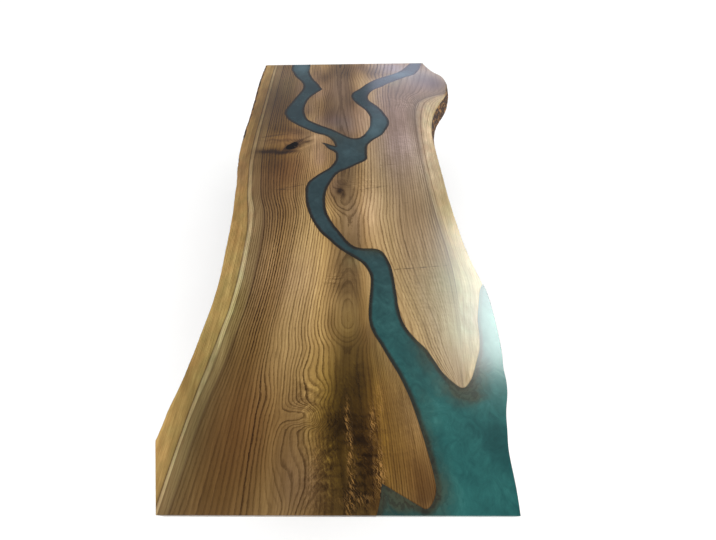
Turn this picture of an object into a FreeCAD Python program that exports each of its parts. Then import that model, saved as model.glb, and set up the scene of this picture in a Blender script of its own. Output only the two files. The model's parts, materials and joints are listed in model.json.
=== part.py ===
import FreeCAD, Part
import Sketcher
import os

# River table: live-edge top in three wooden pieces joined by cast teal resin, on two closed
# rectangular steel leg frames with levelling feet. Millimetres, +Z up, +Y along the table away
# from the near end, +X to the right. The origin is on the floor, under the middle of the table.

V = FreeCAD.Vector
doc = FreeCAD.newDocument("river_table")

# ---------------------------------------------------------------- driving sizes
SIZES = [
    ("top_length", 2100), ("top_width", 985), ("table_height", 760), ("top_thick", 45),
    ("frame_y", 620), ("frame_width", 760), ("rail_bottom", 22), ("tube_wide", 80),
    ("tube_deep", 40), ("tube_wall", 3), ("tube_corner", 5),
    ("plate_width", 160), ("plate_thick", 6), ("bolt_x_out", 345), ("bolt_x_in", 40),
    ("bolt_dy", 60), ("plate_hole", 9), ("plate_slot", 20),
    ("bolt_dia", 8), ("bolt_grip", 30), ("bolt_head_af", 13), ("bolt_head_tall", 5.3),
    ("washer_dia", 24), ("washer_bore", 8.4), ("washer_thick", 2),
    ("insert_dia", 11.96), ("insert_bore", 8.06), ("insert_long", 22.5), ("insert_hole", 12),
    ("insert_hole_deep", 26),
    ("channel_y", 860), ("channel_long", 680), ("channel_wide", 40), ("channel_deep", 15),
    ("channel_wall", 3), ("channel_play", 1), ("channel_end_play", 5), ("groove_wide", 5),
    ("groove_deep", 16.5),
    ("screw_x_out", 300), ("screw_x_in", 130), ("screw_dia", 6), ("screw_grip", 16),
    ("screw_head_dia", 10.5), ("screw_head_tall", 3), ("screw_slot_wide", 7),
    ("screw_slot_long", 18), ("socket_af", 4), ("socket_deep", 1.8), ("screw_rim", 1.2),
    ("screw_head_taper", 42),
    ("small_insert_dia", 8.96), ("small_insert_bore", 6.06), ("small_insert_long", 12),
    ("small_insert_hole", 9), ("small_insert_hole_deep", 15),
    ("knot_deep", 30), ("pocket_low_drop", 35),
    ("foot_x", 300), ("foot_pad_dia", 42), ("stud_dia", 10), ("nut_bore", 10.1),
    ("nut_barrel", 13), ("nut_hole", 13.1), ("collar_af", 16), ("collar_low", 12.5),
    ("collar_tall", 7.5),
]
sheet = doc.addObject("Spreadsheet::Sheet", "Sizes")
sheet.Label = "Sizes"
for row, (alias, value) in enumerate(SIZES, start=1):
    sheet.set("A%d" % row, alias)
    sheet.set("B%d" % row, "%g" % value)
    sheet.setAlias("B%d" % row, alias)
doc.recompute()


class Q:
    """A size that knows its value and the sheet expression that gives it."""

    def __init__(self, value, text):
        self.v = float(value)
        self.t = text

    @staticmethod
    def of(x):
        return x if isinstance(x, Q) else Q(x, "%.6g" % x)

    def __add__(self, o):
        o = Q.of(o)
        return Q(self.v + o.v, "(%s + %s)" % (self.t, o.t))

    def __sub__(self, o):
        o = Q.of(o)
        return Q(self.v - o.v, "(%s - %s)" % (self.t, o.t))

    def __mul__(self, o):
        o = Q.of(o)
        return Q(self.v * o.v, "(%s * %s)" % (self.t, o.t))

    def __truediv__(self, o):
        o = Q.of(o)
        return Q(self.v / o.v, "(%s / %s)" % (self.t, o.t))

    def __neg__(self):
        return Q(-self.v, "(0 - %s)" % self.t)


def size(alias):
    return Q(sheet.get(alias), "Sizes.%s" % alias)


def bind(obj, path, q):
    q = Q.of(q)
    if q.t.startswith("Sizes") or "(" in q.t:
        obj.setExpression(path, q.t)


def new_body(name, several=False):
    body = doc.addObject("PartDesign::Body", name)
    body.Label = name
    if several:
        body.AllowCompound = True
    return body


def place(body, x, y, z, rotation=None):
    x, y, z = Q.of(x), Q.of(y), Q.of(z)
    body.Placement = FreeCAD.Placement(V(x.v, y.v, z.v), rotation or FreeCAD.Rotation())
    bind(body, "Placement.Base.x", x)
    bind(body, "Placement.Base.y", y)
    bind(body, "Placement.Base.z", z)


def new_sketch(body, name, role="XY_Plane", lift=0):
    sk = body.newObject("Sketcher::SketchObject", body.Name + "_" + name)
    plane = [f for f in body.Origin.OriginFeatures if f.Role == role][0]
    sk.AttachmentSupport = [(plane, "")]
    sk.MapMode = "FlatFace"
    lift = Q.of(lift)
    sk.AttachmentOffset = FreeCAD.Placement(V(0, 0, lift.v), FreeCAD.Rotation())
    bind(sk, "AttachmentOffset.Base.z", lift)
    return sk


def constrain(sk, kind, geo, value):
    """Adds a dimension to the sketch and ties it to the sheet."""
    q = Q.of(value)
    n = sk.addConstraint(Sketcher.Constraint(kind, *(list(geo) + [q.v])))
    if q.t.startswith("Sizes") or "(" in q.t:
        name = "d%d" % n
        sk.renameConstraint(n, name)
        sk.setExpression("Constraints." + name, q.t)
    return n


def fix_point(sk, geo, pos, x, y):
    constrain(sk, "DistanceX", (-1, 1, geo, pos), x)
    constrain(sk, "DistanceY", (-1, 1, geo, pos), y)


def polygon(sk, points):
    """A closed polygon with every corner dimensioned from the origin."""
    pts = [(Q.of(a), Q.of(b)) for a, b in points]
    n = len(pts)
    first = None
    for i in range(n):
        a, b = pts[i], pts[(i + 1) % n]
        g = sk.addGeometry(Part.LineSegment(V(a[0].v, a[1].v, 0), V(b[0].v, b[1].v, 0)), False)
        first = g if first is None else first
    for i in range(n):
        sk.addConstraint(Sketcher.Constraint("Coincident", first + i, 2, first + (i + 1) % n, 1))
    for i in range(n):
        fix_point(sk, first + i, 1, pts[i][0], pts[i][1])


def rectangle(sk, x0, y0, x1, y1):
    polygon(sk, [(x0, y0), (x1, y0), (x1, y1), (x0, y1)])


def rounded(sk, x0, y0, x1, y1, radius):
    """A rectangle with rounded corners."""
    x0, y0, x1, y1, r = Q.of(x0), Q.of(y0), Q.of(x1), Q.of(y1), Q.of(radius)
    half = 3.141592653589793 / 2
    centres = [(x1 - r, y1 - r), (x0 + r, y1 - r), (x0 + r, y0 + r), (x1 - r, y0 + r)]
    arcs = [sk.addGeometry(Part.ArcOfCircle(Part.Circle(V(cx.v, cy.v, 0), V(0, 0, 1), r.v),
                                            half * i, half * (i + 1)), False)
            for i, (cx, cy) in enumerate(centres)]
    ends = [((x1 - r, y1), (x0 + r, y1)), ((x0, y1 - r), (x0, y0 + r)),
            ((x0 + r, y0), (x1 - r, y0)), ((x1, y0 + r), (x1, y1 - r))]
    lines = [sk.addGeometry(Part.LineSegment(V(a[0].v, a[1].v, 0), V(b[0].v, b[1].v, 0)), False)
             for a, b in ends]
    for i in range(4):
        sk.addConstraint(Sketcher.Constraint("Tangent", arcs[i], 2, lines[i], 1))
        sk.addConstraint(Sketcher.Constraint("Tangent", lines[i], 2, arcs[(i + 1) % 4], 1))
        sk.addConstraint(Sketcher.Constraint("Vertical" if i % 2 else "Horizontal", lines[i]))
    for i in (1, 2, 3):
        sk.addConstraint(Sketcher.Constraint("Equal", arcs[0], arcs[i]))
    constrain(sk, "Radius", (arcs[0],), r)
    fix_point(sk, arcs[0], 3, centres[0][0], centres[0][1])
    fix_point(sk, arcs[2], 3, centres[2][0], centres[2][1])


def circle(sk, x, y, dia):
    x, y, dia = Q.of(x), Q.of(y), Q.of(dia)
    g = sk.addGeometry(Part.Circle(V(x.v, y.v, 0), V(0, 0, 1), dia.v / 2), False)
    constrain(sk, "Diameter", (g,), dia)
    fix_point(sk, g, 3, x, y)


def hexagon(sk, x, y, across_flats):
    x, y, af = Q.of(x), Q.of(y), Q.of(across_flats)
    corner = af / 1.7320508
    half = af / 2
    polygon(sk, [(x + corner, y), (x + corner / 2, y + half), (x - corner / 2, y + half),
                 (x - corner, y), (x - corner / 2, y - half), (x + corner / 2, y - half)])


def slot(sk, x, y, long, wide):
    """A slot with round ends, long way along X."""
    x, y, long, wide = Q.of(x), Q.of(y), Q.of(long), Q.of(wide)
    r = wide.v / 2
    reach = (long - wide) / 2
    pi = 3.141592653589793
    left = Part.ArcOfCircle(Part.Circle(V(x.v - reach.v, y.v, 0), V(0, 0, 1), r), pi / 2, 1.5 * pi)
    right = Part.ArcOfCircle(Part.Circle(V(x.v + reach.v, y.v, 0), V(0, 0, 1), r), -pi / 2, pi / 2)
    a = sk.addGeometry(left, False)
    b = sk.addGeometry(right, False)
    c = sk.addGeometry(Part.LineSegment(V(x.v - reach.v, y.v - r, 0), V(x.v + reach.v, y.v - r, 0)), False)
    d = sk.addGeometry(Part.LineSegment(V(x.v + reach.v, y.v + r, 0), V(x.v - reach.v, y.v + r, 0)), False)
    sk.addConstraint(Sketcher.Constraint("Tangent", a, 2, c, 1))
    sk.addConstraint(Sketcher.Constraint("Tangent", c, 2, b, 1))
    sk.addConstraint(Sketcher.Constraint("Tangent", b, 2, d, 1))
    sk.addConstraint(Sketcher.Constraint("Tangent", d, 2, a, 1))
    sk.addConstraint(Sketcher.Constraint("Equal", a, b))
    constrain(sk, "Radius", (a,), wide / 2)
    fix_point(sk, a, 3, x - reach, y)
    constrain(sk, "DistanceX", (-1, 1, b, 3), x + reach)


def curve(sk, points):
    """A smooth interpolated curve through measured points, locked in place. It is laid down in
    spans of four points, each joined to the next with the same tangent."""
    c = Part.BSplineCurve()
    c.interpolate(points)
    knots = c.getKnots()
    last = len(knots) - 1
    for a in range(0, last, 4):
        span = c.copy()
        span.segment(knots[a], knots[min(a + 4, last)])
        g = sk.addGeometry(span, False)
        sk.addConstraint(Sketcher.Constraint("Block", g))


def straight(sk, a, b):
    g = sk.addGeometry(Part.LineSegment(a, b), False)
    sk.addConstraint(Sketcher.Constraint("Block", g))


def pad(body, sk, name, length, both_ways=False):
    f = body.newObject("PartDesign::Pad", body.Name + "_" + name)
    f.Profile = sk
    f.Length = Q.of(length).v
    bind(f, "Length", length)
    if both_ways:
        f.Midplane = True
    return f


def pocket(body, sk, name, length, upward=False, both_ways=False):
    """Cuts along the sketch plane's normal, upward into the piece or down, and checks it cut."""
    doc.recompute()
    before = body.Shape.Volume
    f = body.newObject("PartDesign::Pocket", body.Name + "_" + name)
    f.Profile = sk
    f.Length = Q.of(length).v
    bind(f, "Length", length)
    f.Reversed = upward
    if both_ways:
        f.Midplane = True
    doc.recompute()
    removed = before - body.Shape.Volume
    if removed < 1.0:
        raise RuntimeError("%s cut nothing" % f.Name)
    cuts[f.Name] = removed
    return f


def revolve(body, sk, name):
    f = body.newObject("PartDesign::Revolution", body.Name + "_" + name)
    f.Profile = sk
    f.ReferenceAxis = (sk, ["V_Axis"])
    f.Angle = 360
    return f


cuts = {}
nodes = []

# ---------------------------------------------------------------- measured outlines
# Points (x, y) on the table's top face, for a top 2100 long and 985 wide. Live edges and river
# banks run from the far end to the near end unless said otherwise.
# NEAR_RIGHT: outer edge of the resin, near corner to where the right slab's live edge starts.
# RIGHT_LIVE: live edge of the right slab from there to the far corner (widest outline).
# LEFT_LIVE: live edge of the left slab. NEAR_LEFT: end of the trimmed near left corner.
# LEFT_BANK_FAR, CRACK_OUT, CRACK_IN, LEFT_BANK, NOTCH: the left slab's side of the river, with
# the thin crack, the tongue at the near end and the notch beside it.
# ISLAND: the island between the two branches, from the far end round and back.
# POCKET_TOP, POCKET_LOW: the bark pocket's arris at the top face and its foot near the underside.
# KNOT: the filled knot hole.
NEAR_RIGHT = [
    (398.3, -1050), (400.8, -1020), (402.3, -985), (402.3, -950), (402.8, -925), (405.3, -900),
    (409.8, -875), (414.8, -842), (421.8, -812), (429.3, -788), (434.8, -763), (437.3, -738),
    (437.8, -705), (441.3, -680), (444.3, -650), (445.8, -610), (446.3, -560), (445.3, -515),
    (442.8, -470), (435.8, -425)]
RIGHT_LIVE = [
    (435.8, -425), (425.8, -385), (416.8, -345), (407.8, -295), (400.8, -245), (395.8, -195),
    (390.8, -140), (385.8, -80), (381.8, -20), (378.8, 50), (375.8, 120), (371.8, 195),
    (369.3, 255), (369.3, 310), (372.8, 360), (380.8, 407), (393.8, 465), (416.8, 526),
    (445.8, 584), (468.8, 641), (483.8, 702), (491.3, 752), (492.3, 795), (489.3, 835),
    (483.8, 870), (470.8, 905), (447.8, 934), (430.8, 957), (414.8, 988), (399.8, 1020),
    (388.8, 1050)]
LEFT_LIVE = [
    (-485.2, 1050), (-489.2, 980), (-492.2, 900), (-492.2, 820), (-490.2, 740), (-488.2, 660),
    (-487.2, 580), (-487.2, 500), (-489.2, 430), (-487.7, 375), (-484.2, 310), (-479.7, 240),
    (-474.2, 180), (-465.2, 125), (-456.2, 70), (-449.7, 5), (-441.2, -65), (-435.2, -130),
    (-431.2, -190), (-427.7, -260), (-423.7, -330), (-420.7, -400), (-421.2, -465),
    (-424.2, -520), (-428.7, -570), (-433.7, -620), (-439.2, -675), (-446.2, -725),
    (-454.2, -775), (-462.2, -815), (-466.2, -850), (-471.2, -893)]
LEFT_BANK_FAR = [
    (-333.2, 1050), (-332.2, 1015), (-327.7, 980), (-318.2, 957), (-310.2, 935), (-295.2, 906),
    (-277.2, 881), (-264.2, 858), (-256.2, 838), (-252.2, 812), (-254.2, 784), (-262.2, 757),
    (-273.2, 728), (-283.2, 702), (-290.2, 678), (-301.2, 648), (-312.2, 618), (-319.2, 588),
    (-318.7, 565), (-311.2, 542), (-300.2, 521), (-285.2, 501), (-264.2, 481), (-241.2, 461),
    (-214.2, 441), (-186.2, 421), (-158.2, 402), (-130.2, 390), (-110.2, 380), (-91.2, 361),
    (-78.7, 342), (-70.7, 320), (-68.2, 305)]
CRACK_OUT = [
    (-68.2, 305), (-84.2, 312.5), (-100.2, 321), (-118.2, 328), (-128.2, 330)]
CRACK_IN = [
    (-128.2, 330), (-113.2, 313), (-101.2, 293), (-89.2, 280), (-76.2, 271)]
LEFT_BANK = [
    (-76.2, 271), (-64.2, 256), (-61.2, 233), (-61.7, 210), (-67.2, 192), (-75.2, 174.5),
    (-86.2, 156.5), (-102.2, 141), (-117.7, 127), (-133.2, 111.5), (-151.2, 91), (-165.2, 71),
    (-171.7, 48), (-172.7, 20), (-171.2, -8), (-167.7, -34), (-162.7, -60), (-153.2, -92),
    (-141.2, -125), (-127.2, -155), (-109.2, -187), (-91.2, -212), (-75.2, -228), (-54.2, -252),
    (-33.2, -274), (-12.2, -292), (8.8, -308), (29.8, -324), (46.8, -339), (59.8, -357),
    (69.8, -377), (75.3, -398), (75.8, -420), (74.3, -445), (71.3, -475), (68.8, -505),
    (67.3, -535), (69.3, -562), (73.8, -583), (82.8, -605), (93.8, -625), (104.8, -645),
    (114.8, -665), (126.3, -687), (138.8, -710), (149.8, -732), (159.8, -756), (168.8, -779),
    (175.8, -800), (182.8, -824), (189.3, -850), (195.8, -877), (201.8, -902), (206.8, -926),
    (211.8, -952), (215.8, -978), (216.3, -1000), (210.8, -1017), (200.8, -1031),
    (189.8, -1037.5), (179.8, -1034), (168.8, -1028), (152.8, -1019.5), (136.8, -1011),
    (119.8, -1002), (103.8, -993), (91.8, -986.5)]
NOTCH = [
    (91.8, -986.5), (89.3, -1003), (86.3, -1022), (81.8, -1038), (77.8, -1050)]
ISLAND = [
    (-233.2, 1050), (-233.7, 1020), (-233.7, 992), (-231.7, 968), (-226.7, 945), (-219.2, 920),
    (-211.2, 899), (-201.7, 878), (-189.7, 859), (-178.2, 840), (-168.7, 820), (-161.2, 802),
    (-153.7, 785), (-161.2, 772), (-173.2, 757), (-185.2, 741), (-197.2, 725), (-208.2, 707),
    (-217.2, 684), (-223.2, 658), (-227.2, 632), (-228.7, 606), (-226.7, 580), (-221.2, 554),
    (-213.7, 531), (-204.2, 512), (-190.7, 499), (-173.2, 486), (-155.2, 473), (-132.2, 458),
    (-110.2, 445), (-88.2, 431), (-69.7, 417), (-52.2, 403), (-36.2, 390), (-20.2, 377),
    (-6.2, 367), (8.8, 361), (23.8, 359.5), (37.8, 364), (50.8, 375), (62.8, 391), (71.8, 409),
    (79.8, 427), (85.8, 446), (88.3, 468), (89.3, 490), (89.3, 513), (86.3, 536), (79.3, 558),
    (69.8, 580.5), (56.3, 602.5), (40.8, 623), (24.8, 645), (11.8, 669), (2.3, 692), (-2.2, 715),
    (1.8, 736), (13.8, 756), (31.8, 774), (44.8, 790), (59.8, 810), (74.8, 830), (93.8, 850),
    (114.8, 869), (138.8, 886), (164.8, 902), (193.8, 917), (220.8, 933), (246.8, 952),
    (269.8, 975), (289.8, 1005), (306.8, 1030), (320.8, 1050)]
RIGHT_BANK = [
    (378.8, 1050), (370.8, 1008), (360.8, 977), (346.8, 948), (329.8, 925), (306.8, 910),
    (284.8, 899), (259.8, 882), (234.8, 866), (210.8, 850), (189.8, 836), (170.8, 819),
    (151.8, 801), (130.8, 788), (113.8, 775), (98.8, 757), (88.8, 738), (82.8, 718), (80.3, 697),
    (83.8, 678), (91.8, 662), (106.8, 643), (122.8, 621.5), (137.3, 598), (150.8, 571),
    (160.3, 545), (168.8, 521), (174.8, 499), (176.3, 477), (172.3, 455), (164.3, 435),
    (154.8, 414), (140.8, 386), (120.8, 365.5), (103.8, 350), (90.8, 334.5), (79.8, 320),
    (73.8, 306), (71.6, 287), (71.3, 260), (71.3, 233), (70.3, 212), (59.8, 199), (44.3, 188),
    (26.3, 176), (8.3, 163), (-9.7, 150), (-27.2, 140.5), (-42.2, 130), (-54.2, 116),
    (-64.2, 98), (-73.2, 75.5), (-81.7, 53), (-88.2, 30.5), (-91.7, 8), (-93.2, -15),
    (-92.7, -37), (-90.7, -60), (-86.2, -85), (-81.2, -105), (-75.2, -121), (-62.7, -148),
    (-50.2, -171), (-35.7, -193), (-21.2, -216), (-8.2, -236), (5.8, -254), (20.8, -267),
    (37.8, -274), (58.8, -277), (79.8, -277), (96.8, -279.6), (110.8, -286), (120.3, -296),
    (128.8, -311), (136.8, -331), (143.8, -353), (148.3, -378), (151.3, -406), (153.8, -436),
    (155.8, -461), (157.3, -483), (158.3, -504), (160.8, -522), (163.8, -540), (168.8, -560),
    (176.8, -579), (186.8, -597), (199.8, -615), (212.8, -631), (225.8, -645), (235.8, -660),
    (244.8, -677), (254.3, -694), (262.8, -711), (272.8, -726), (283.8, -739), (295.3, -750),
    (305.3, -758.5), (314.8, -763), (324.8, -760), (334.8, -750), (343.3, -739), (349.8, -727),
    (355.8, -714), (361.8, -700), (368.3, -685), (374.8, -670), (380.8, -654), (384.8, -638),
    (387.8, -621), (390.3, -599), (391.8, -578), (393.8, -558), (397.8, -538), (402.8, -519),
    (407.8, -499), (412.8, -479), (417.8, -460), (425.8, -440), (435.8, -425)]
POCKET_TOP = [
    (376, 255), (366, 300), (362.3, 341), (365.8, 429), (379.8, 509), (413.8, 608),
    (444.8, 668), (465.8, 708), (476, 745), (483, 785), (496, 825)]
POCKET_LOW = [
    (384, 255), (382, 300), (384, 345), (396, 430), (422, 512), (457, 594), (480, 660),
    (494, 712), (502, 752), (504, 790), (507, 828)]
KNOT = [
    (-277.2, 313), (-283.2, 300), (-277.2, 286), (-263.2, 284), (-247.2, 290), (-237.2, 299),
    (-231.2, 317), (-234.2, 332), (-245.2, 338), (-258.2, 331), (-267.2, 322)]
NEAR_LEFT = [
    (-419.2, -1050)]


def scaled(points):
    """Measured points, at the sheet's length and width."""
    kx = size("top_width").v / 985.0
    ky = size("top_length").v / 2100.0
    return [V(x * kx, y * ky, 0) for x, y in points]


near_right, right_live, left_live = scaled(NEAR_RIGHT), scaled(RIGHT_LIVE), scaled(LEFT_LIVE)
left_bank_far, crack_out, crack_in = scaled(LEFT_BANK_FAR), scaled(CRACK_OUT), scaled(CRACK_IN)
left_bank, notch, island = scaled(LEFT_BANK), scaled(NOTCH), scaled(ISLAND)
right_bank, near_left = scaled(RIGHT_BANK), scaled(NEAR_LEFT)[0]
pocket_top, pocket_low, knot = scaled(POCKET_TOP), scaled(POCKET_LOW), scaled(KNOT)

thick = size("top_thick")
under = size("table_height") - thick

# where the fasteners go into the top: (x, y) of the plate bolts and of the channel screws
plate_holes = []
for sx in (-1, 1):
    for sy in (-1, 1):
        for along in ("bolt_x_out", "bolt_x_in"):
            plate_holes.append((size(along) * sx, size("bolt_dy") * sy))
frame_signs = (-1, 1)
channel_signs = (-1, 0, 1)
screw_xs = [size("screw_x_out") * -1, size("screw_x_in") * -1, size("screw_x_in"),
            size("screw_x_out")]


def inside(region, x, y):
    return region.isInside(V(x, y, under.v + 1), 0.01, True)


def top_piece(name, outline, inserts):
    """One piece of the top: its outline padded to full thickness, with what is cut into it
    from below: the insert holes at the leg frames and the recesses for the channels."""
    body = new_body(name)
    sk = new_sketch(body, "outline", lift=under)
    outline(sk)
    pad(body, sk, "slab", thick)
    doc.recompute()
    whole = body.Shape.copy()
    bb = whole.BoundBox

    for tag, sign in (("front", -1), ("rear", 1)):
        mine = []
        for hx, hy in plate_holes:
            y = size("frame_y") * sign + hy
            if inside(whole, hx.v, y.v):
                mine.append((hx, y))
        if mine:
            sk = new_sketch(body, "holes_" + tag, lift=under)
            for x, y in mine:
                circle(sk, x, y, size("insert_hole"))
            pocket(body, sk, "insert_holes_" + tag, size("insert_hole_deep"), upward=True)
            inserts[tag] = inserts.get(tag, 0) + len(mine)

    half = size("channel_long") / 2 + size("channel_end_play")
    wide = size("channel_wide") / 2 + size("channel_play")
    for tag, sign in (("front", -1), ("middle", 0), ("rear", 1)):
        yc = size("channel_y") * sign
        if yc.v + 20 > bb.YMax or yc.v - 20 < bb.YMin:
            continue
        sk = new_sketch(body, "recess_" + tag, lift=under)
        rectangle(sk, -half, yc - wide, half, yc + wide)
        pocket(body, sk, "channel_recess_" + tag, size("channel_wall"), upward=True)
        sk = new_sketch(body, "grooves_" + tag, lift=under)
        rectangle(sk, -half, yc - wide, half, yc - wide + size("groove_wide"))
        rectangle(sk, -half, yc + wide - size("groove_wide"), half, yc + wide)
        pocket(body, sk, "channel_grooves_" + tag, size("groove_deep"), upward=True)
        mine = [x for x in screw_xs if inside(whole, x.v, yc.v)]
        if mine:
            sk = new_sketch(body, "screw_holes_" + tag, lift=under + size("channel_wall"))
            for x in mine:
                circle(sk, x, yc, size("small_insert_hole"))
            pocket(body, sk, "small_insert_holes_" + tag, size("small_insert_hole_deep"),
                   upward=True)
            inserts["channel_" + tag] = inserts.get("channel_" + tag, 0) + len(mine)
    nodes.append(body)
    return body


# ---------------------------------------------------------------- the top
def left_outline(sk):
    curve(sk, left_live)
    straight(sk, left_live[-1], near_left)
    straight(sk, near_left, notch[-1])
    curve(sk, notch)
    curve(sk, left_bank)
    curve(sk, crack_in)
    curve(sk, crack_out)
    curve(sk, left_bank_far)
    straight(sk, left_bank_far[0], left_live[0])


def island_outline(sk):
    curve(sk, island)
    straight(sk, island[-1], island[0])


def right_outline(sk):
    curve(sk, right_bank)
    curve(sk, right_live)
    straight(sk, right_live[-1], right_bank[0])


def resin_outline(sk):
    curve(sk, left_bank_far)
    curve(sk, crack_out)
    curve(sk, crack_in)
    curve(sk, left_bank)
    curve(sk, notch)
    straight(sk, notch[-1], near_right[0])
    curve(sk, near_right)
    curve(sk, right_bank)
    straight(sk, right_bank[0], island[-1])
    curve(sk, island)
    straight(sk, island[0], left_bank_far[0])


inserts_cut = {}
left_slab = top_piece("left_slab", left_outline, inserts_cut)
far_centre_slab = top_piece("far_centre_slab", island_outline, inserts_cut)
right_slab = top_piece("right_slab", right_outline, inserts_cut)
river_resin = top_piece("river_resin", resin_outline, inserts_cut)

# the hole that a knot left in the left slab, filled with dark resin
knot_pts = knot + [knot[0]]
sk = new_sketch(left_slab, "knot_hole", lift=size("table_height") - size("knot_deep"))
curve(sk, knot_pts)
pocket(left_slab, sk, "knot_hole_cut", size("knot_deep"), upward=True)

knot_fill = new_body("knot_fill")
sk = new_sketch(knot_fill, "outline", lift=size("table_height") - size("knot_deep"))
curve(sk, knot_pts)
pad(knot_fill, sk, "plug", size("knot_deep"))
nodes.append(knot_fill)

# the bark pocket under the knob at the far right: the arris is cut back at the top face and
# the scoop runs out to the full outline near the underside
doc.recompute()
before = right_slab.Shape.Volume
outside = 60.0
upper = new_sketch(right_slab, "pocket_upper", lift=size("table_height") + 0.5)
curve(upper, pocket_top)
straight(upper, pocket_top[-1], V(pocket_top[-1].x + outside, pocket_top[-1].y, 0))
straight(upper, V(pocket_top[-1].x + outside, pocket_top[-1].y, 0),
         V(pocket_top[-1].x + outside, pocket_top[0].y, 0))
straight(upper, V(pocket_top[-1].x + outside, pocket_top[0].y, 0), pocket_top[0])
lower = new_sketch(right_slab, "pocket_lower", lift=size("table_height") - size("pocket_low_drop"))
curve(lower, pocket_low)
straight(lower, pocket_low[-1], V(pocket_low[-1].x + outside, pocket_low[-1].y, 0))
straight(lower, V(pocket_low[-1].x + outside, pocket_low[-1].y, 0),
         V(pocket_low[-1].x + outside, pocket_low[0].y, 0))
straight(lower, V(pocket_low[-1].x + outside, pocket_low[0].y, 0), pocket_low[0])
scoop = right_slab.newObject("PartDesign::SubtractiveLoft", "right_slab_bark_pocket")
scoop.Profile = upper
scoop.Sections = [lower]
scoop.Ruled = True
doc.recompute()
cuts["right_slab_bark_pocket"] = before - right_slab.Shape.Volume
if cuts["right_slab_bark_pocket"] < 1000:
    raise RuntimeError("the bark pocket cut nothing")

# ---------------------------------------------------------------- leg frames
half_wide = size("tube_wide") / 2
half_deep = size("tube_deep") / 2
wall = size("tube_wall")
frame_top = under - size("plate_thick")
post_long = frame_top - size("rail_bottom")
rail_half = size("frame_width") / 2
deep = size("tube_deep")
corner = size("tube_corner")


def post(name, side, sign):
    """Upright of rectangular tube, both ends mitred at 45 degrees towards the outside."""
    body = new_body(name)
    sk = new_sketch(body, "section")
    rounded(sk, -half_deep, -half_wide, half_deep, half_wide, corner)
    rounded(sk, wall - half_deep, wall - half_wide, half_deep - wall, half_wide - wall,
            corner - wall)
    pad(body, sk, "tube", post_long)
    sk = new_sketch(body, "mitres", "XZ_Plane")
    # the outer face keeps its full length, the inner one is shorter by the tube's depth
    polygon(sk, [(-half_deep, -1), (half_deep + 1, -1), (half_deep + 1, deep + 1),
                 (half_deep, deep), (-half_deep, 0)])
    polygon(sk, [(-half_deep, post_long + 1), (-half_deep, post_long),
                 (half_deep, post_long - deep), (half_deep + 1, post_long - deep - 1),
                 (half_deep + 1, post_long + 1)])
    pocket(body, sk, "mitre_cuts", size("tube_wide") + 4, both_ways=True)
    turn = FreeCAD.Rotation(V(0, 0, 1), 0 if side < 0 else 180)
    place(body, (rail_half - half_deep) * side, size("frame_y") * sign, size("rail_bottom"), turn)
    nodes.append(body)
    return body


def rail(name, sign, upper_rail):
    """Rail of the same tube, lying across the table, both ends mitred to meet the posts."""
    body = new_body(name)
    sk = new_sketch(body, "section", "YZ_Plane")
    rounded(sk, -half_wide, 0, half_wide, deep, corner)
    rounded(sk, wall - half_wide, wall, half_wide - wall, deep - wall, corner - wall)
    pad(body, sk, "tube", size("frame_width"), both_ways=True)
    sk = new_sketch(body, "mitres", "XZ_Plane")
    polygon(sk, [(-rail_half - 1, -1), (-rail_half, 0), (-rail_half + deep, deep),
                 (-rail_half + deep + 1, deep + 1), (-rail_half - 1, deep + 1)])
    polygon(sk, [(rail_half + 1, -1), (rail_half + 1, deep + 1), (rail_half - deep - 1, deep + 1),
                 (rail_half - deep, deep), (rail_half, 0)])
    pocket(body, sk, "mitre_cuts", size("tube_wide") + 4, both_ways=True)
    if upper_rail:
        place(body, 0, size("frame_y") * sign, frame_top, FreeCAD.Rotation(V(1, 0, 0), 180))
    else:
        sk = new_sketch(body, "foot_holes")
        for side in (-1, 1):
            circle(sk, size("foot_x") * side, 0, size("nut_hole"))
        pocket(body, sk, "foot_hole_cuts", wall, upward=True)
        place(body, 0, size("frame_y") * sign, size("rail_bottom"))
    nodes.append(body)
    return body


def mount_plate(name, sign):
    """Flat plate welded on the top rail; the outer holes are slots across the table, so the
    top can swell and shrink."""
    body = new_body(name)
    sk = new_sketch(body, "outline")
    half = size("plate_width") / 2
    rectangle(sk, -rail_half, -half, rail_half, half)
    pad(body, sk, "plate", size("plate_thick"))
    sk = new_sketch(body, "holes")
    for sx in (-1, 1):
        for sy in (-1, 1):
            slot(sk, size("bolt_x_out") * sx, size("bolt_dy") * sy, size("plate_slot"),
                 size("plate_hole"))
            circle(sk, size("bolt_x_in") * sx, size("bolt_dy") * sy, size("plate_hole"))
    pocket(body, sk, "hole_cuts", size("plate_thick"), upward=True)
    place(body, 0, size("frame_y") * sign, frame_top)
    nodes.append(body)
    return body


for word, sign in (("front", -1), ("rear", 1)):
    post(word + "_left_post", -1, sign)
    post(word + "_right_post", 1, sign)
    rail(word + "_top_rail", sign, True)
    rail(word + "_floor_rail", sign, False)
    mount_plate(word + "_mount_plate", sign)


# ---------------------------------------------------------------- fasteners of the leg frames
def plate_washers(name, sign):
    body = new_body(name, several=True)
    sk = new_sketch(body, "rings", lift=size("washer_thick") * -1)
    for x, y in plate_holes:
        circle(sk, x, y, size("washer_dia"))
        circle(sk, x, y, size("washer_bore"))
    pad(body, sk, "washers", size("washer_thick"))
    place(body, 0, size("frame_y") * sign, frame_top)
    nodes.append(body)


def plate_bolts(name, sign):
    body = new_body(name, several=True)
    low = size("washer_thick") * -1
    sk = new_sketch(body, "heads", lift=low - size("bolt_head_tall"))
    for x, y in plate_holes:
        hexagon(sk, x, y, size("bolt_head_af"))
    pad(body, sk, "hex_heads", size("bolt_head_tall"))
    sk = new_sketch(body, "shanks", lift=low)
    for x, y in plate_holes:
        circle(sk, x, y, size("bolt_dia"))
    pad(body, sk, "shank_rods", size("bolt_grip"))
    place(body, 0, size("frame_y") * sign, frame_top)
    nodes.append(body)


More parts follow.
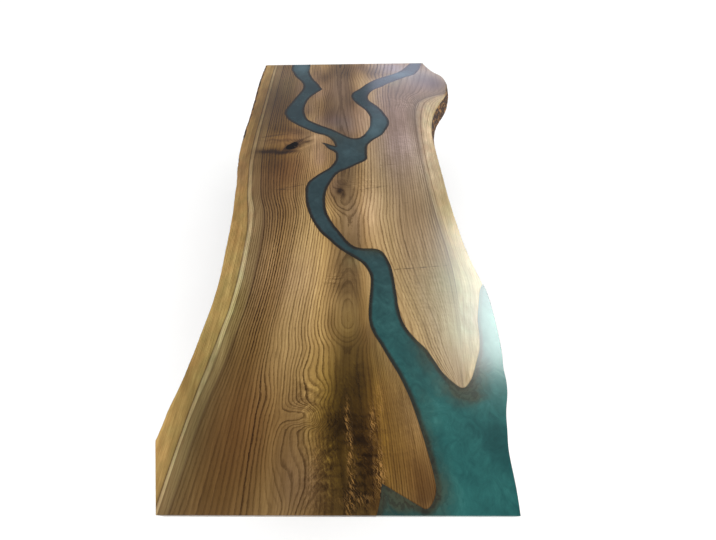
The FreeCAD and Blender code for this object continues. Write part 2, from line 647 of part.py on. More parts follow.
def plate_inserts(name, sign):
    body = new_body(name, several=True)
    sk = new_sketch(body, "rings")
    for x, y in plate_holes:
        circle(sk, x, y, size("insert_dia"))
        circle(sk, x, y, size("insert_bore"))
    pad(body, sk, "sleeves", size("insert_long"))
    place(body, 0, size("frame_y") * sign, under)
    nodes.append(body)


for word, sign in (("front", -1), ("rear", 1)):
    plate_bolts(word + "_plate_bolts", sign)
    plate_washers(word + "_plate_washers", sign)
    plate_inserts(word + "_plate_inserts", sign)


# ---------------------------------------------------------------- channels let into the underside
def channel(name, sign):
    """C-channel, web flush with the underside and flanges up into the wood."""
    body = new_body(name)
    sk = new_sketch(body, "section", "YZ_Plane")
    w, t, d = size("channel_wide") / 2, size("channel_wall"), size("channel_deep")
    polygon(sk, [(-w, 0), (w, 0), (w, d), (w - t, d), (w - t, t), (t - w, t), (t - w, d), (-w, d)])
    pad(body, sk, "profile", size("channel_long"), both_ways=True)
    sk = new_sketch(body, "slots")
    for x in screw_xs:
        slot(sk, x, 0, size("screw_slot_long"), size("screw_slot_wide"))
    pocket(body, sk, "slot_cuts", size("channel_wall"), upward=True)
    place(body, 0, size("channel_y") * sign, under)
    nodes.append(body)


def channel_screws(name, sign):
    body = new_body(name, several=True)
    low = size("screw_head_tall") * -1
    sk = new_sketch(body, "rims", lift=size("screw_rim") * -1)
    for x in screw_xs:
        circle(sk, x, 0, size("screw_head_dia"))
    pad(body, sk, "head_rims", size("screw_rim"))
    sk = new_sketch(body, "domes", lift=size("screw_rim") * -1)
    for x in screw_xs:
        circle(sk, x, 0, size("screw_head_dia"))
    dome = pad(body, sk, "head_domes", size("screw_head_tall") - size("screw_rim"))
    dome.Reversed = True
    dome.TaperAngle = -size("screw_head_taper").v
    bind(dome, "TaperAngle", size("screw_head_taper") * -1)
    sk = new_sketch(body, "shanks")
    for x in screw_xs:
        circle(sk, x, 0, size("screw_dia"))
    pad(body, sk, "shank_rods", size("screw_grip"))
    sk = new_sketch(body, "sockets", lift=low)
    for x in screw_xs:
        hexagon(sk, x, 0, size("socket_af"))
    pocket(body, sk, "socket_cuts", size("socket_deep"), upward=True)
    place(body, 0, size("channel_y") * sign, under)
    nodes.append(body)


def channel_inserts(name, sign):
    body = new_body(name, several=True)
    sk = new_sketch(body, "rings")
    for x in screw_xs:
        circle(sk, x, 0, size("small_insert_dia"))
        circle(sk, x, 0, size("small_insert_bore"))
    pad(body, sk, "sleeves", size("small_insert_long"))
    place(body, 0, size("channel_y") * sign, under + size("channel_wall"))
    nodes.append(body)


for word, sign in (("front", -1), ("middle", 0), ("rear", 1)):
    channel("stiffener_" + word, sign)
    channel_screws("stiffener_screws_" + word, sign)
    channel_inserts("stiffener_inserts_" + word, sign)


# ---------------------------------------------------------------- levelling feet
def foot_pad(name, side, sign):
    """Nylon pad that swivels under the stud: a disc with a hub and an undercut socket."""
    body = new_body(name)
    sk = new_sketch(body, "profile", "XZ_Plane")
    r = size("foot_pad_dia") / 2
    polygon(sk, [(0, 0), (r - 1.5, 0), (r, 1.5), (r, 5.5), (r - 2, 7.5), (11, 7.5), (10, 12),
                 (4.1, 12), (4.1, 8.6), (6.1, 8.6), (6.1, 3.9), (0, 3.9)])
    revolve(body, sk, "disc")
    place(body, size("foot_x") * side, size("frame_y") * sign, 0)
    nodes.append(body)


def foot_stud(name, side, sign):
    """Stud with a flange held in the pad's socket, a hex collar to turn it by and a plain rod
    at the thread's outside size."""
    body = new_body(name)
    sk = new_sketch(body, "profile", "XZ_Plane")
    r = size("stud_dia") / 2
    low = size("collar_low")
    polygon(sk, [(0, 4), (6, 4), (6, 8.5), (4, 8.5), (4, low), (r, low), (r, 56), (r - 1, 57),
                 (0, 57)])
    revolve(body, sk, "rod")
    sk = new_sketch(body, "collar", lift=low)
    hexagon(sk, 0, 0, size("collar_af"))
    pad(body, sk, "hex_collar", size("collar_tall"))
    place(body, size("foot_x") * side, size("frame_y") * sign, 0)
    nodes.append(body)


def foot_nut(name, side, sign):
    """Rivet nut clamped in the floor rail's lower wall."""
    body = new_body(name)
    sk = new_sketch(body, "profile", "XZ_Plane")
    bore, barrel = size("nut_bore") / 2, size("nut_barrel") / 2
    face = size("rail_bottom")
    polygon(sk, [(bore, face - 1.5), (8.5, face - 1.5), (8.5, face), (barrel, face),
                 (barrel, face + 3.02), (8.5, face + 4), (8.5, face + 6), (barrel, face + 7),
                 (barrel, face + 16), (bore, face + 16)])
    revolve(body, sk, "sleeve")
    place(body, size("foot_x") * side, size("frame_y") * sign, 0)
    nodes.append(body)


for word, sign in (("front", -1), ("rear", 1)):
    for hand, side in (("left", -1), ("right", 1)):
        foot_pad("foot_pad_%s_%s" % (word, hand), side, sign)
        foot_stud("foot_stud_%s_%s" % (word, hand), side, sign)
        foot_nut("foot_nut_%s_%s" % (word, hand), side, sign)

# ---------------------------------------------------------------- check, then write
doc.recompute()
bad = [o.Name for o in doc.Objects if "Invalid" in o.State or "Error" in o.State]
if bad:
    raise RuntimeError("failed objects: %s" % bad)
solids_wanted = {}
for body in nodes:
    if "plate_" in body.Label:
        solids_wanted[body.Label] = 8
    elif body.Label.startswith("stiffener_screws") or body.Label.startswith("stiffener_inserts"):
        solids_wanted[body.Label] = 4
for tag in ("front", "rear"):
    if inserts_cut.get(tag) != 8:
        raise RuntimeError("insert holes at the %s frame: %s" % (tag, inserts_cut.get(tag)))
for tag in ("channel_front", "channel_middle", "channel_rear"):
    if inserts_cut.get(tag) != 4:
        raise RuntimeError("insert holes at %s: %s" % (tag, inserts_cut.get(tag)))
whole_box = FreeCAD.BoundBox()
for body in nodes:
    shape = body.Shape
    if shape.isNull() or not shape.isValid():
        raise RuntimeError("bad shape: %s" % body.Label)
    want = solids_wanted.get(body.Label, 1)
    if len(shape.Solids) != want:
        raise RuntimeError("%s has %d solids, not %d" % (body.Label, len(shape.Solids), want))
    whole_box.add(shape.BoundBox)

os.makedirs("parts", exist_ok=True)
for body in nodes:
    body.Shape.exportStep("parts/%s.step" % body.Label)
    b = body.Shape.BoundBox
    print("%-26s %12.0f mm3  x %7.1f %7.1f  y %8.1f %8.1f  z %6.1f %6.1f" % (
        body.Label, body.Shape.Volume, b.XMin, b.XMax, b.YMin, b.YMax, b.ZMin, b.ZMax))
print("nodes", len(nodes), "box", [round(v, 2) for v in (
    whole_box.XMin, whole_box.XMax, whole_box.YMin, whole_box.YMax, whole_box.ZMin,
    whole_box.ZMax)])
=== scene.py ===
import json
import math

import bmesh
import bpy
import numpy as np
from mathutils import Matrix, Vector, noise
from mathutils.geometry import delaunay_2d_cdt
from mathutils.kdtree import KDTree


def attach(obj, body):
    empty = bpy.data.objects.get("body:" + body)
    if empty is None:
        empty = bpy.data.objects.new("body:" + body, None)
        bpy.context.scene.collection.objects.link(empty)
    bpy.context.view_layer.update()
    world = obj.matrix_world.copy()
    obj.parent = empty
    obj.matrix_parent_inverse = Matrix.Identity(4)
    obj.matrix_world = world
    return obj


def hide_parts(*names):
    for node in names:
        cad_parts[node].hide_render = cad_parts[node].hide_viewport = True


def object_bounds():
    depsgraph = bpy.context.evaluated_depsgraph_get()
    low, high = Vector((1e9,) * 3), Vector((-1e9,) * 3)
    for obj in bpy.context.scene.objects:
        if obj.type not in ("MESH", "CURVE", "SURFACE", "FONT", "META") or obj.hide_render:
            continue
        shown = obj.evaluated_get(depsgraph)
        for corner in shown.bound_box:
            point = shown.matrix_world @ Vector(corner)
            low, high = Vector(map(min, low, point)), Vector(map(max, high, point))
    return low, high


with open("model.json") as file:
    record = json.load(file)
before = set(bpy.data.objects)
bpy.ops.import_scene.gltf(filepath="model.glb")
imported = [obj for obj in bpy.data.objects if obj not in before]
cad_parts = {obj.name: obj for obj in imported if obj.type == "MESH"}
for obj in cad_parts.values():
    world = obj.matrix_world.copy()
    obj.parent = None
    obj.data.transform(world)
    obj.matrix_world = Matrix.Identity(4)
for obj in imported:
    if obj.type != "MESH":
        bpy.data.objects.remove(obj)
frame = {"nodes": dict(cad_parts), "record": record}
cad_lo, cad_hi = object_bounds()

# River table. The top is rebuilt here as dense meshes on the same outlines as the CAD, with
# the live edges, the bark and the grain; the steel keeps its CAD shape and gets its finish.
# Points are in millimetres in the part's frame, as (x, y).
NEAR_RIGHT = [
    (398.3, -1050), (400.8, -1020), (402.3, -985), (402.3, -950), (402.8, -925), (405.3, -900),
    (409.8, -875), (414.8, -842), (421.8, -812), (429.3, -788), (434.8, -763), (437.3, -738),
    (437.8, -705), (441.3, -680), (444.3, -650), (445.8, -610), (446.3, -560), (445.3, -515),
    (442.8, -470), (435.8, -425)]
RIGHT_LIVE = [
    (435.8, -425), (425.8, -385), (416.8, -345), (407.8, -295), (400.8, -245), (395.8, -195),
    (390.8, -140), (385.8, -80), (381.8, -20), (378.8, 50), (375.8, 120), (371.8, 195),
    (369.3, 255), (369.3, 310), (372.8, 360), (380.8, 407), (393.8, 465), (416.8, 526),
    (445.8, 584), (468.8, 641), (483.8, 702), (491.3, 752), (492.3, 795), (489.3, 835),
    (483.8, 870), (470.8, 905), (447.8, 934), (430.8, 957), (414.8, 988), (399.8, 1020),
    (388.8, 1050)]
LEFT_LIVE = [
    (-485.2, 1050), (-489.2, 980), (-492.2, 900), (-492.2, 820), (-490.2, 740), (-488.2, 660),
    (-487.2, 580), (-487.2, 500), (-489.2, 430), (-487.7, 375), (-484.2, 310), (-479.7, 240),
    (-474.2, 180), (-465.2, 125), (-456.2, 70), (-449.7, 5), (-441.2, -65), (-435.2, -130),
    (-431.2, -190), (-427.7, -260), (-423.7, -330), (-420.7, -400), (-421.2, -465),
    (-424.2, -520), (-428.7, -570), (-433.7, -620), (-439.2, -675), (-446.2, -725),
    (-454.2, -775), (-462.2, -815), (-466.2, -850), (-471.2, -893)]
LEFT_BANK_FAR = [
    (-333.2, 1050), (-332.2, 1015), (-327.7, 980), (-318.2, 957), (-310.2, 935), (-295.2, 906),
    (-277.2, 881), (-264.2, 858), (-256.2, 838), (-252.2, 812), (-254.2, 784), (-262.2, 757),
    (-273.2, 728), (-283.2, 702), (-290.2, 678), (-301.2, 648), (-312.2, 618), (-319.2, 588),
    (-318.7, 565), (-311.2, 542), (-300.2, 521), (-285.2, 501), (-264.2, 481), (-241.2, 461),
    (-214.2, 441), (-186.2, 421), (-158.2, 402), (-130.2, 390), (-110.2, 380), (-91.2, 361),
    (-78.7, 342), (-70.7, 320), (-68.2, 305)]
CRACK_OUT = [
    (-68.2, 305), (-84.2, 312.5), (-100.2, 321), (-118.2, 328), (-128.2, 330)]
CRACK_IN = [
    (-128.2, 330), (-113.2, 313), (-101.2, 293), (-89.2, 280), (-76.2, 271)]
LEFT_BANK = [
    (-76.2, 271), (-64.2, 256), (-61.2, 233), (-61.7, 210), (-67.2, 192), (-75.2, 174.5),
    (-86.2, 156.5), (-102.2, 141), (-117.7, 127), (-133.2, 111.5), (-151.2, 91), (-165.2, 71),
    (-171.7, 48), (-172.7, 20), (-171.2, -8), (-167.7, -34), (-162.7, -60), (-153.2, -92),
    (-141.2, -125), (-127.2, -155), (-109.2, -187), (-91.2, -212), (-75.2, -228), (-54.2, -252),
    (-33.2, -274), (-12.2, -292), (8.8, -308), (29.8, -324), (46.8, -339), (59.8, -357),
    (69.8, -377), (75.3, -398), (75.8, -420), (74.3, -445), (71.3, -475), (68.8, -505),
    (67.3, -535), (69.3, -562), (73.8, -583), (82.8, -605), (93.8, -625), (104.8, -645),
    (114.8, -665), (126.3, -687), (138.8, -710), (149.8, -732), (159.8, -756), (168.8, -779),
    (175.8, -800), (182.8, -824), (189.3, -850), (195.8, -877), (201.8, -902), (206.8, -926),
    (211.8, -952), (215.8, -978), (216.3, -1000), (210.8, -1017), (200.8, -1031),
    (189.8, -1037.5), (179.8, -1034), (168.8, -1028), (152.8, -1019.5), (136.8, -1011),
    (119.8, -1002), (103.8, -993), (91.8, -986.5)]
NOTCH = [
    (91.8, -986.5), (89.3, -1003), (86.3, -1022), (81.8, -1038), (77.8, -1050)]
ISLAND = [
    (-233.2, 1050), (-233.7, 1020), (-233.7, 992), (-231.7, 968), (-226.7, 945), (-219.2, 920),
    (-211.2, 899), (-201.7, 878), (-189.7, 859), (-178.2, 840), (-168.7, 820), (-161.2, 802),
    (-153.7, 785), (-161.2, 772), (-173.2, 757), (-185.2, 741), (-197.2, 725), (-208.2, 707),
    (-217.2, 684), (-223.2, 658), (-227.2, 632), (-228.7, 606), (-226.7, 580), (-221.2, 554),
    (-213.7, 531), (-204.2, 512), (-190.7, 499), (-173.2, 486), (-155.2, 473), (-132.2, 458),
    (-110.2, 445), (-88.2, 431), (-69.7, 417), (-52.2, 403), (-36.2, 390), (-20.2, 377),
    (-6.2, 367), (8.8, 361), (23.8, 359.5), (37.8, 364), (50.8, 375), (62.8, 391), (71.8, 409),
    (79.8, 427), (85.8, 446), (88.3, 468), (89.3, 490), (89.3, 513), (86.3, 536), (79.3, 558),
    (69.8, 580.5), (56.3, 602.5), (40.8, 623), (24.8, 645), (11.8, 669), (2.3, 692), (-2.2, 715),
    (1.8, 736), (13.8, 756), (31.8, 774), (44.8, 790), (59.8, 810), (74.8, 830), (93.8, 850),
    (114.8, 869), (138.8, 886), (164.8, 902), (193.8, 917), (220.8, 933), (246.8, 952),
    (269.8, 975), (289.8, 1005), (306.8, 1030), (320.8, 1050)]
RIGHT_BANK = [
    (378.8, 1050), (370.8, 1008), (360.8, 977), (346.8, 948), (329.8, 925), (306.8, 910),
    (284.8, 899), (259.8, 882), (234.8, 866), (210.8, 850), (189.8, 836), (170.8, 819),
    (151.8, 801), (130.8, 788), (113.8, 775), (98.8, 757), (88.8, 738), (82.8, 718), (80.3, 697),
    (83.8, 678), (91.8, 662), (106.8, 643), (122.8, 621.5), (137.3, 598), (150.8, 571),
    (160.3, 545), (168.8, 521), (174.8, 499), (176.3, 477), (172.3, 455), (164.3, 435),
    (154.8, 414), (140.8, 386), (120.8, 365.5), (103.8, 350), (90.8, 334.5), (79.8, 320),
    (73.8, 306), (71.6, 287), (71.3, 260), (71.3, 233), (70.3, 212), (59.8, 199), (44.3, 188),
    (26.3, 176), (8.3, 163), (-9.7, 150), (-27.2, 140.5), (-42.2, 130), (-54.2, 116),
    (-64.2, 98), (-73.2, 75.5), (-81.7, 53), (-88.2, 30.5), (-91.7, 8), (-93.2, -15),
    (-92.7, -37), (-90.7, -60), (-86.2, -85), (-81.2, -105), (-75.2, -121), (-62.7, -148),
    (-50.2, -171), (-35.7, -193), (-21.2, -216), (-8.2, -236), (5.8, -254), (20.8, -267),
    (37.8, -274), (58.8, -277), (79.8, -277), (96.8, -279.6), (110.8, -286), (120.3, -296),
    (128.8, -311), (136.8, -331), (143.8, -353), (148.3, -378), (151.3, -406), (153.8, -436),
    (155.8, -461), (157.3, -483), (158.3, -504), (160.8, -522), (163.8, -540), (168.8, -560),
    (176.8, -579), (186.8, -597), (199.8, -615), (212.8, -631), (225.8, -645), (235.8, -660),
    (244.8, -677), (254.3, -694), (262.8, -711), (272.8, -726), (283.8, -739), (295.3, -750),
    (305.3, -758.5), (314.8, -763), (324.8, -760), (334.8, -750), (343.3, -739), (349.8, -727),
    (355.8, -714), (361.8, -700), (368.3, -685), (374.8, -670), (380.8, -654), (384.8, -638),
    (387.8, -621), (390.3, -599), (391.8, -578), (393.8, -558), (397.8, -538), (402.8, -519),
    (407.8, -499), (412.8, -479), (417.8, -460), (425.8, -440), (435.8, -425)]
POCKET_TOP = [
    (376, 255), (366, 300), (362.3, 341), (365.8, 429), (379.8, 509), (413.8, 608),
    (444.8, 668), (465.8, 708), (476, 745), (483, 785), (496, 825)]
POCKET_LOW = [
    (384, 255), (382, 300), (384, 345), (396, 430), (422, 512), (457, 594), (480, 660),
    (494, 712), (502, 752), (504, 790), (507, 828)]
KNOT = [
    (-277.2, 313), (-283.2, 300), (-277.2, 286), (-263.2, 284), (-247.2, 290), (-237.2, 299),
    (-231.2, 317), (-234.2, 332), (-245.2, 338), (-258.2, 331), (-267.2, 322)]
NEAR_LEFT = [
    (-419.2, -1050)]

TOP, UNDER = 760.0, 715.0
STEP = 4.6            # spacing of the points along every outline
GRID = 5.2            # spacing of the top's inner points
GRID_UNDER = 14.0


# ---------------------------------------------------------------- curves
def cubic(t, v, q):
    """Natural cubic spline through (t, v), read at q."""
    n = len(t)
    h = np.diff(t)
    a = np.zeros((n, n))
    b = np.zeros((n,) + v.shape[1:])
    a[0, 0] = a[-1, -1] = 1.0
    for i in range(1, n - 1):
        a[i, i - 1], a[i, i], a[i, i + 1] = h[i - 1], 2 * (h[i - 1] + h[i]), h[i]
        b[i] = 6 * ((v[i + 1] - v[i]) / h[i] - (v[i] - v[i - 1]) / h[i - 1])
    m = np.linalg.solve(a, b)
    k = np.clip(np.searchsorted(t, q) - 1, 0, n - 2)
    if v.ndim > 1:
        hk, x0, x1 = h[k][:, None], (t[k + 1] - q)[:, None], (q - t[k])[:, None]
    else:
        hk, x0, x1 = h[k], t[k + 1] - q, q - t[k]
    return ((m[k] * x0 ** 3 + m[k + 1] * x1 ** 3) / (6 * hk)
            + (v[k] / hk - m[k] * hk / 6) * x0 + (v[k + 1] / hk - m[k + 1] * hk / 6) * x1)


def laid(points, step=STEP):
    """The smooth curve through points, at even steps, both ends included."""
    p = np.array(points, float)
    t = np.r_[0, np.cumsum(np.hypot(*np.diff(p, axis=0).T))]
    n = max(2, int(round(t[-1] / step)))
    if len(p) == 2:
        return p[0] + (p[1] - p[0]) * np.linspace(0, 1, n + 1)[:, None]
    out = cubic(t, p, np.linspace(0, t[-1], n + 1))
    out[0], out[-1] = p[0], p[-1]
    return out


def slope_limited(t, v, q):
    """Monotone cubic through (t, v), t rising, read at q, held straight beyond its ends."""
    h = np.diff(t)
    d = np.diff(v) / h
    m = np.zeros(len(t))
    m[0], m[-1] = d[0], d[-1]
    for i in range(1, len(t) - 1):
        if d[i - 1] * d[i] > 0:
            w1, w2 = 2 * h[i] + h[i - 1], h[i] + 2 * h[i - 1]
            m[i] = (w1 + w2) / (w1 / d[i - 1] + w2 / d[i])
    qq = np.clip(q, t[0], t[-1])
    k = np.clip(np.searchsorted(t, qq) - 1, 0, len(t) - 2)
    s = (qq - t[k]) / h[k]
    r = ((1 + 2 * s) * (1 - s) ** 2 * v[k] + s * (1 - s) ** 2 * h[k] * m[k]
         + s * s * (3 - 2 * s) * v[k + 1] + s * s * (s - 1) * h[k] * m[k + 1])
    return r + np.where(q < t[0], (q - t[0]) * m[0], 0) + np.where(q > t[-1], (q - t[-1]) * m[-1], 0)


def line_of(*yx):
    """A grain line: x as a function of y, from (y, x) pairs."""
    a = np.array(sorted(yx), float)
    return lambda y: slope_limited(a[:, 0], a[:, 1], y)


# ---------------------------------------------------------------- the plan of the top
plan = []             # every outline point once, as (x, y)
chain = {}            # name of a stretch -> its point numbers in order
corner_no = {}        # junctions, by their rounded place


def lay_chain(name, points, step=STEP):
    q = laid(points, step)
    ids = []
    for i, p in enumerate(q):
        key = (round(p[0], 1), round(p[1], 1))
        if i in (0, len(q) - 1) and key in corner_no:
            ids.append(corner_no[key])
            continue
        plan.append((float(p[0]), float(p[1])))
        ids.append(len(plan) - 1)
        if i in (0, len(q) - 1):
            corner_no[key] = len(plan) - 1
    chain[name] = ids
    return ids


lay_chain("near_a", [NEAR_LEFT[0], NOTCH[-1]])
lay_chain("near_b", [NOTCH[-1], NEAR_RIGHT[0]])
lay_chain("near_right", NEAR_RIGHT)
lay_chain("right_live", RIGHT_LIVE)
lay_chain("far_a", [RIGHT_LIVE[-1], RIGHT_BANK[0]])
lay_chain("far_b", [RIGHT_BANK[0], ISLAND[-1]])
lay_chain("far_c", [ISLAND[-1], ISLAND[0]])
lay_chain("far_d", [ISLAND[0], LEFT_BANK_FAR[0]])
lay_chain("far_e", [LEFT_BANK_FAR[0], LEFT_LIVE[0]])
lay_chain("left_live", LEFT_LIVE)
lay_chain("trim", [LEFT_LIVE[-1], NEAR_LEFT[0]])
lay_chain("right_bank", RIGHT_BANK)
lay_chain("left_bank_far", LEFT_BANK_FAR)
lay_chain("crack_out", CRACK_OUT)
lay_chain("crack_in", CRACK_IN)
lay_chain("left_bank", LEFT_BANK)
lay_chain("notch", NOTCH)
lay_chain("island", ISLAND)
lay_chain("knot", KNOT + [KNOT[0]], 3.0)

OUTER = [("near_a", "left_slab"), ("near_b", "river_resin"), ("near_right", "river_resin"),
         ("right_live", "right_slab"), ("far_a", "right_slab"), ("far_b", "river_resin"),
         ("far_c", "far_centre_slab"), ("far_d", "river_resin"), ("far_e", "left_slab"),
         ("left_live", "left_slab"), ("trim", "left_slab")]
LOOPS = {
    "left_slab": ["near_a", "-notch", "-left_bank", "-crack_in", "-crack_out",
                  "-left_bank_far", "far_e", "left_live", "trim"],
    "far_centre_slab": ["island", "far_c"],
    "right_slab": ["right_live", "far_a", "right_bank"],
    "river_resin": ["near_b", "near_right", "-right_bank", "far_b", "-island", "far_d",
                    "left_bank_far", "crack_out", "crack_in", "left_bank", "notch"],
    "knot_fill": ["knot"],
}
BANKS = ["right_bank", "left_bank_far", "crack_out", "crack_in", "left_bank", "notch", "island"]


def way(name):
    return chain[name[1:]][::-1] if name.startswith("-") else chain[name]


def loop_ids(names):
    out = []
    for n in names:
        out += way(n)[:-1]
    return out


plan = np.array(plan)
outer = loop_ids([n for n, _ in OUTER])
n_out = len(outer)
rim = plan[outer]
owner = []
for n, piece in OUTER:
    owner += [piece] * (len(chain[n]) - 1)
stretch = []
for n, _ in OUTER:
    stretch += [n] * (len(chain[n]) - 1)
stretch = np.array(stretch)

# inward direction at every rim point, square to the edge, lengthened at sharp corners
ahead = np.roll(rim, -1, 0) - rim
ahead /= np.hypot(*ahead.T)[:, None]
behind = np.roll(ahead, 1, 0)
n_a = np.c_[-ahead[:, 1], ahead[:, 0]]
n_b = np.c_[-behind[:, 1], behind[:, 0]]
inward = n_a + n_b
inward /= np.hypot(*inward.T)[:, None]
inward /= np.clip((inward * n_a).sum(1), 0.5, 1)[:, None]


def fbm(x, y, z, scale, octaves=3, seed=0.0):
    """Smooth noise from -1 to 1 at points given in millimetres."""
    out = np.empty(len(x))
    for i in range(len(x)):
        out[i] = noise.fractal((x[i] / scale + seed, y[i] / scale - seed, z[i] / scale + 3.1 * seed),
                               1.0, 2.0, octaves)
    return out


def bump(x, lo, hi, soft):
    """1 between lo and hi, falling to 0 over soft on both sides."""
    a = np.clip((x - lo) / soft + 1, 0, 1)
    b = np.clip((hi - x) / soft + 1, 0, 1)
    return (a * a * (3 - 2 * a)) * (b * b * (3 - 2 * b))


# how far the top face stands back from the rim, and how deep the slope to it reaches
live = np.isin(stretch, ["right_live", "left_live"])
zero = np.zeros(n_out)
wander = fbm(rim[:, 0], rim[:, 1], zero, 60.0, 3, 2.0)
A = np.where(live, 3.2 + 1.2 * wander, 1.2)
HA = np.where(live, 4.6 + 1.6 * wander, 1.2)
B = np.where(live, 4.5 + 3.0 * fbm(rim[:, 0], rim[:, 1], zero, 110.0, 2, 5.0), 1.2)
HB = np.where(live, 13.0, 1.2)
flat_slope = zero.copy()        # 0 rounds the slope over, 1 leaves it straight
rough = np.where(live, 1.3, 0.0)
bark = zero.copy()

# bark left on the far left edge, and a small patch further down
on_left = stretch == "left_live"
far_bark = np.where(on_left, bump(rim[:, 1], 400, 1100, 90), 0)
spot = np.where(on_left, bump(rim[:, 1], 178, 218, 16), 0)
A = A + far_bark * (9.5 + 2.5 * wander) + spot * 5.0
HA = HA + far_bark * 4.0 + spot * 4.0
bark = np.maximum(bark, np.maximum(far_bark, spot))
rough = rough + 0.9 * far_bark + 0.6 * spot

# the bark pocket under the knob: the top face ends at the pocket's own curve
cut = laid(POCKET_TOP, 6.0)
for i in np.nonzero((stretch == "right_live") & (rim[:, 1] > 262) & (rim[:, 1] < 815))[0]:
    p, d = rim[i], inward[i] / np.hypot(*inward[i])
    e = np.diff(cut, axis=0)
    w = cut[:-1] - p
    den = d[0] * e[:, 1] - d[1] * e[:, 0]
    den = np.where(np.abs(den) < 1e-9, 1e-9, den)
    far = (w[:, 0] * e[:, 1] - w[:, 1] * e[:, 0]) / den
    on = (w[:, 0] * d[1] - w[:, 1] * d[0]) / den
    hit = far[(on >= 0) & (on <= 1) & (far > 0) & (far < 90)]
    if len(hit):
        deep = hit.min()
        share = min(1.0, deep / 26.0)
        A[i] = max(A[i], deep)
        HA[i] = HA[i] + (31.0 - HA[i]) * share
        flat_slope[i] = 0.75 * share
        bark[i] = max(bark[i], min(1.0, deep / 9.0))
        rough[i] = rough[i] + 2.6 * share


def eased(v, times=2):
    for _ in range(times):
        v = 0.25 * np.roll(v, 1) + 0.5 * v + 0.25 * np.roll(v, -1)
    return v


A, HA, flat_slope, bark, rough = (eased(v, 3) for v in (A, HA, flat_slope, bark, rough))
B, HB = eased(B, 6), eased(HB, 6)

TOP_ROWS, MID_ROWS, LOW_ROWS = 11, 6, 5


def side_rows():
    """Inset and depth of every row of the edge, from the arris down, for every rim point."""
    rows = []
    for j in range(TOP_ROWS):
        th = j / (TOP_ROWS - 1) * math.pi / 2
        s = j / (TOP_ROWS - 1)
        inset = (1 - flat_slope) * A * (1 - math.sin(th)) + flat_slope * A * (1 - s)
        depth = (1 - flat_slope) * HA * (1 - math.cos(th)) + flat_slope * HA * s
        rows.append((inset, depth))
    low = TOP - UNDER
    for j in range(1, MID_ROWS):
        s = j / MID_ROWS
        rows.append((zero.copy(), HA + (low - HB - HA) * s))
    for j in range(LOW_ROWS + 1):
        th = j / LOW_ROWS * math.pi / 2
        rows.append((B * (1 - math.cos(th)), low - HB + HB * math.sin(th)))
    return rows


rows = side_rows()
# the lower rows may not rise above the slope of the pocket
inset_rows = np.array([r[0] for r in rows])
depth_rows = np.array([r[1] for r in rows])
depth_rows = np.maximum.accumulate(depth_rows, axis=0)
n_rows = len(rows)
unit_in = inward.copy()
side_xyz = np.empty((n_rows, n_out, 3))
for j in range(n_rows):
    p = rim + unit_in * inset_rows[j][:, None]
    side_xyz[j, :, 0], side_xyz[j, :, 1], side_xyz[j, :, 2] = p[:, 0], p[:, 1], TOP - depth_rows[j]
# live edge and bark are uneven: the surface is pressed in a little, never out
for j in range(1, n_rows - 1):
    x, y, z = side_xyz[j].T
    near_rim = min(1.0, j / 4.0) * min(1.0, (n_rows - 1 - j) / 2.0)
    soft = fbm(x, y, z * 2.2, 34.0, 3, 1.0)
    fine = fbm(x, y, z * 3.0, 9.0, 4, 7.0)
    ridge = 1 - np.abs(fbm(x, y * 0.55, z * 1.6, 15.0, 4, 11.0)) * 2
    press = rough * ((0.55 + 0.6 * soft + 0.25 * fine) * (1 - bark)
                     + bark * (0.75 + 0.55 * soft - 0.75 * ridge)) * near_rim
    press = np.where(rough > 0.05, np.clip(press, -0.3 * inset_rows[j], 7.0), 0)
    side_xyz[j, :, :2] += unit_in * press[:, None] * np.where(flat_slope > 0.2, 0.6, 1.0)[:, None]
    side_xyz[j, :, 2] -= press * 0.8 * np.minimum(flat_slope * 1.4, 1.0) * (1 if j < TOP_ROWS - 1 else 0.3)
side_xyz[:, :, 2] = np.clip(side_xyz[:, :, 2], UNDER, TOP)


# ---------------------------------------------------------------- grain
left_pts = np.array(sorted([(y, x) for x, y in LEFT_LIVE] + [(-1050, -486.0)]))
edge_left = lambda y: slope_limited(left_pts[:, 0], left_pts[:, 1], y)
FA = line_of((1050, -428), (900, -430), (700, -430), (500, -431), (400, -432), (300, -430),
             (200, -424), (100, -412), (0, -398), (-100, -378), (-200, -364), (-300, -361),
             (-400, -359), (-500, -362), (-600, -374), (-700, -388), (-800, -401),
             (-900, -411), (-1000, -420), (-1050, -424))
FB = line_of((1050, -410), (900, -411), (700, -411), (500, -411), (400, -410), (300, -407),
             (200, -402), (100, -390), (0, -373), (-100, -345), (-200, -338), (-300, -337),
             (-400, -336), (-500, -340), (-600, -351), (-700, -364), (-800, -386),
             (-900, -401), (-1000, -408), (-1050, -412))
FL1 = line_of((1050, -370), (400, -372), (300, -372), (200, -363), (100, -350), (0, -335),
              (-100, -310), (-200, -300), (-300, -297), (-400, -297), (-500, -303),
              (-600, -316), (-700, -332), (-800, -352), (-900, -368), (-1000, -378),
              (-1050, -384))
FL2 = line_of((1050, -255), (600, -245), (400, -218), (300, -215), (200, -207), (100, -210),
              (0, -204), (-100, -188), (-300, -197), (-400, -200), (-500, -206), (-600, -216),
              (-700, -224), (-800, -222), (-900, -214), (-1050, -214))
FP = line_of((1050, -70), (800, -70), (600, -64), (400, -42), (200, -30), (100, -31), (15, -37),
             (-60, -24), (-130, -6), (-300, 0), (-450, 5), (-560, 8), (-700, 5), (-850, 5),
             (-950, 14), (-1050, 20))
TG1 = line_of((-200, 62), (-300, 58), (-400, 60), (-500, 58), (-600, 60), (-700, 70),
              (-800, 81), (-900, 88), (-986, 92), (-1050, 95))
TG2 = line_of((-200, 200), (-300, 188), (-400, 172), (-500, 160), (-600, 164), (-700, 186),
              (-800, 214), (-900, 240), (-1000, 256), (-1050, 262))
RG1 = line_of((1050, 62), (700, 80), (500, 92), (300, 100), (100, 100), (0, 100), (-100, 104),
              (-300, 126), (-450, 160), (-600, 206), (-700, 252), (-760, 290))
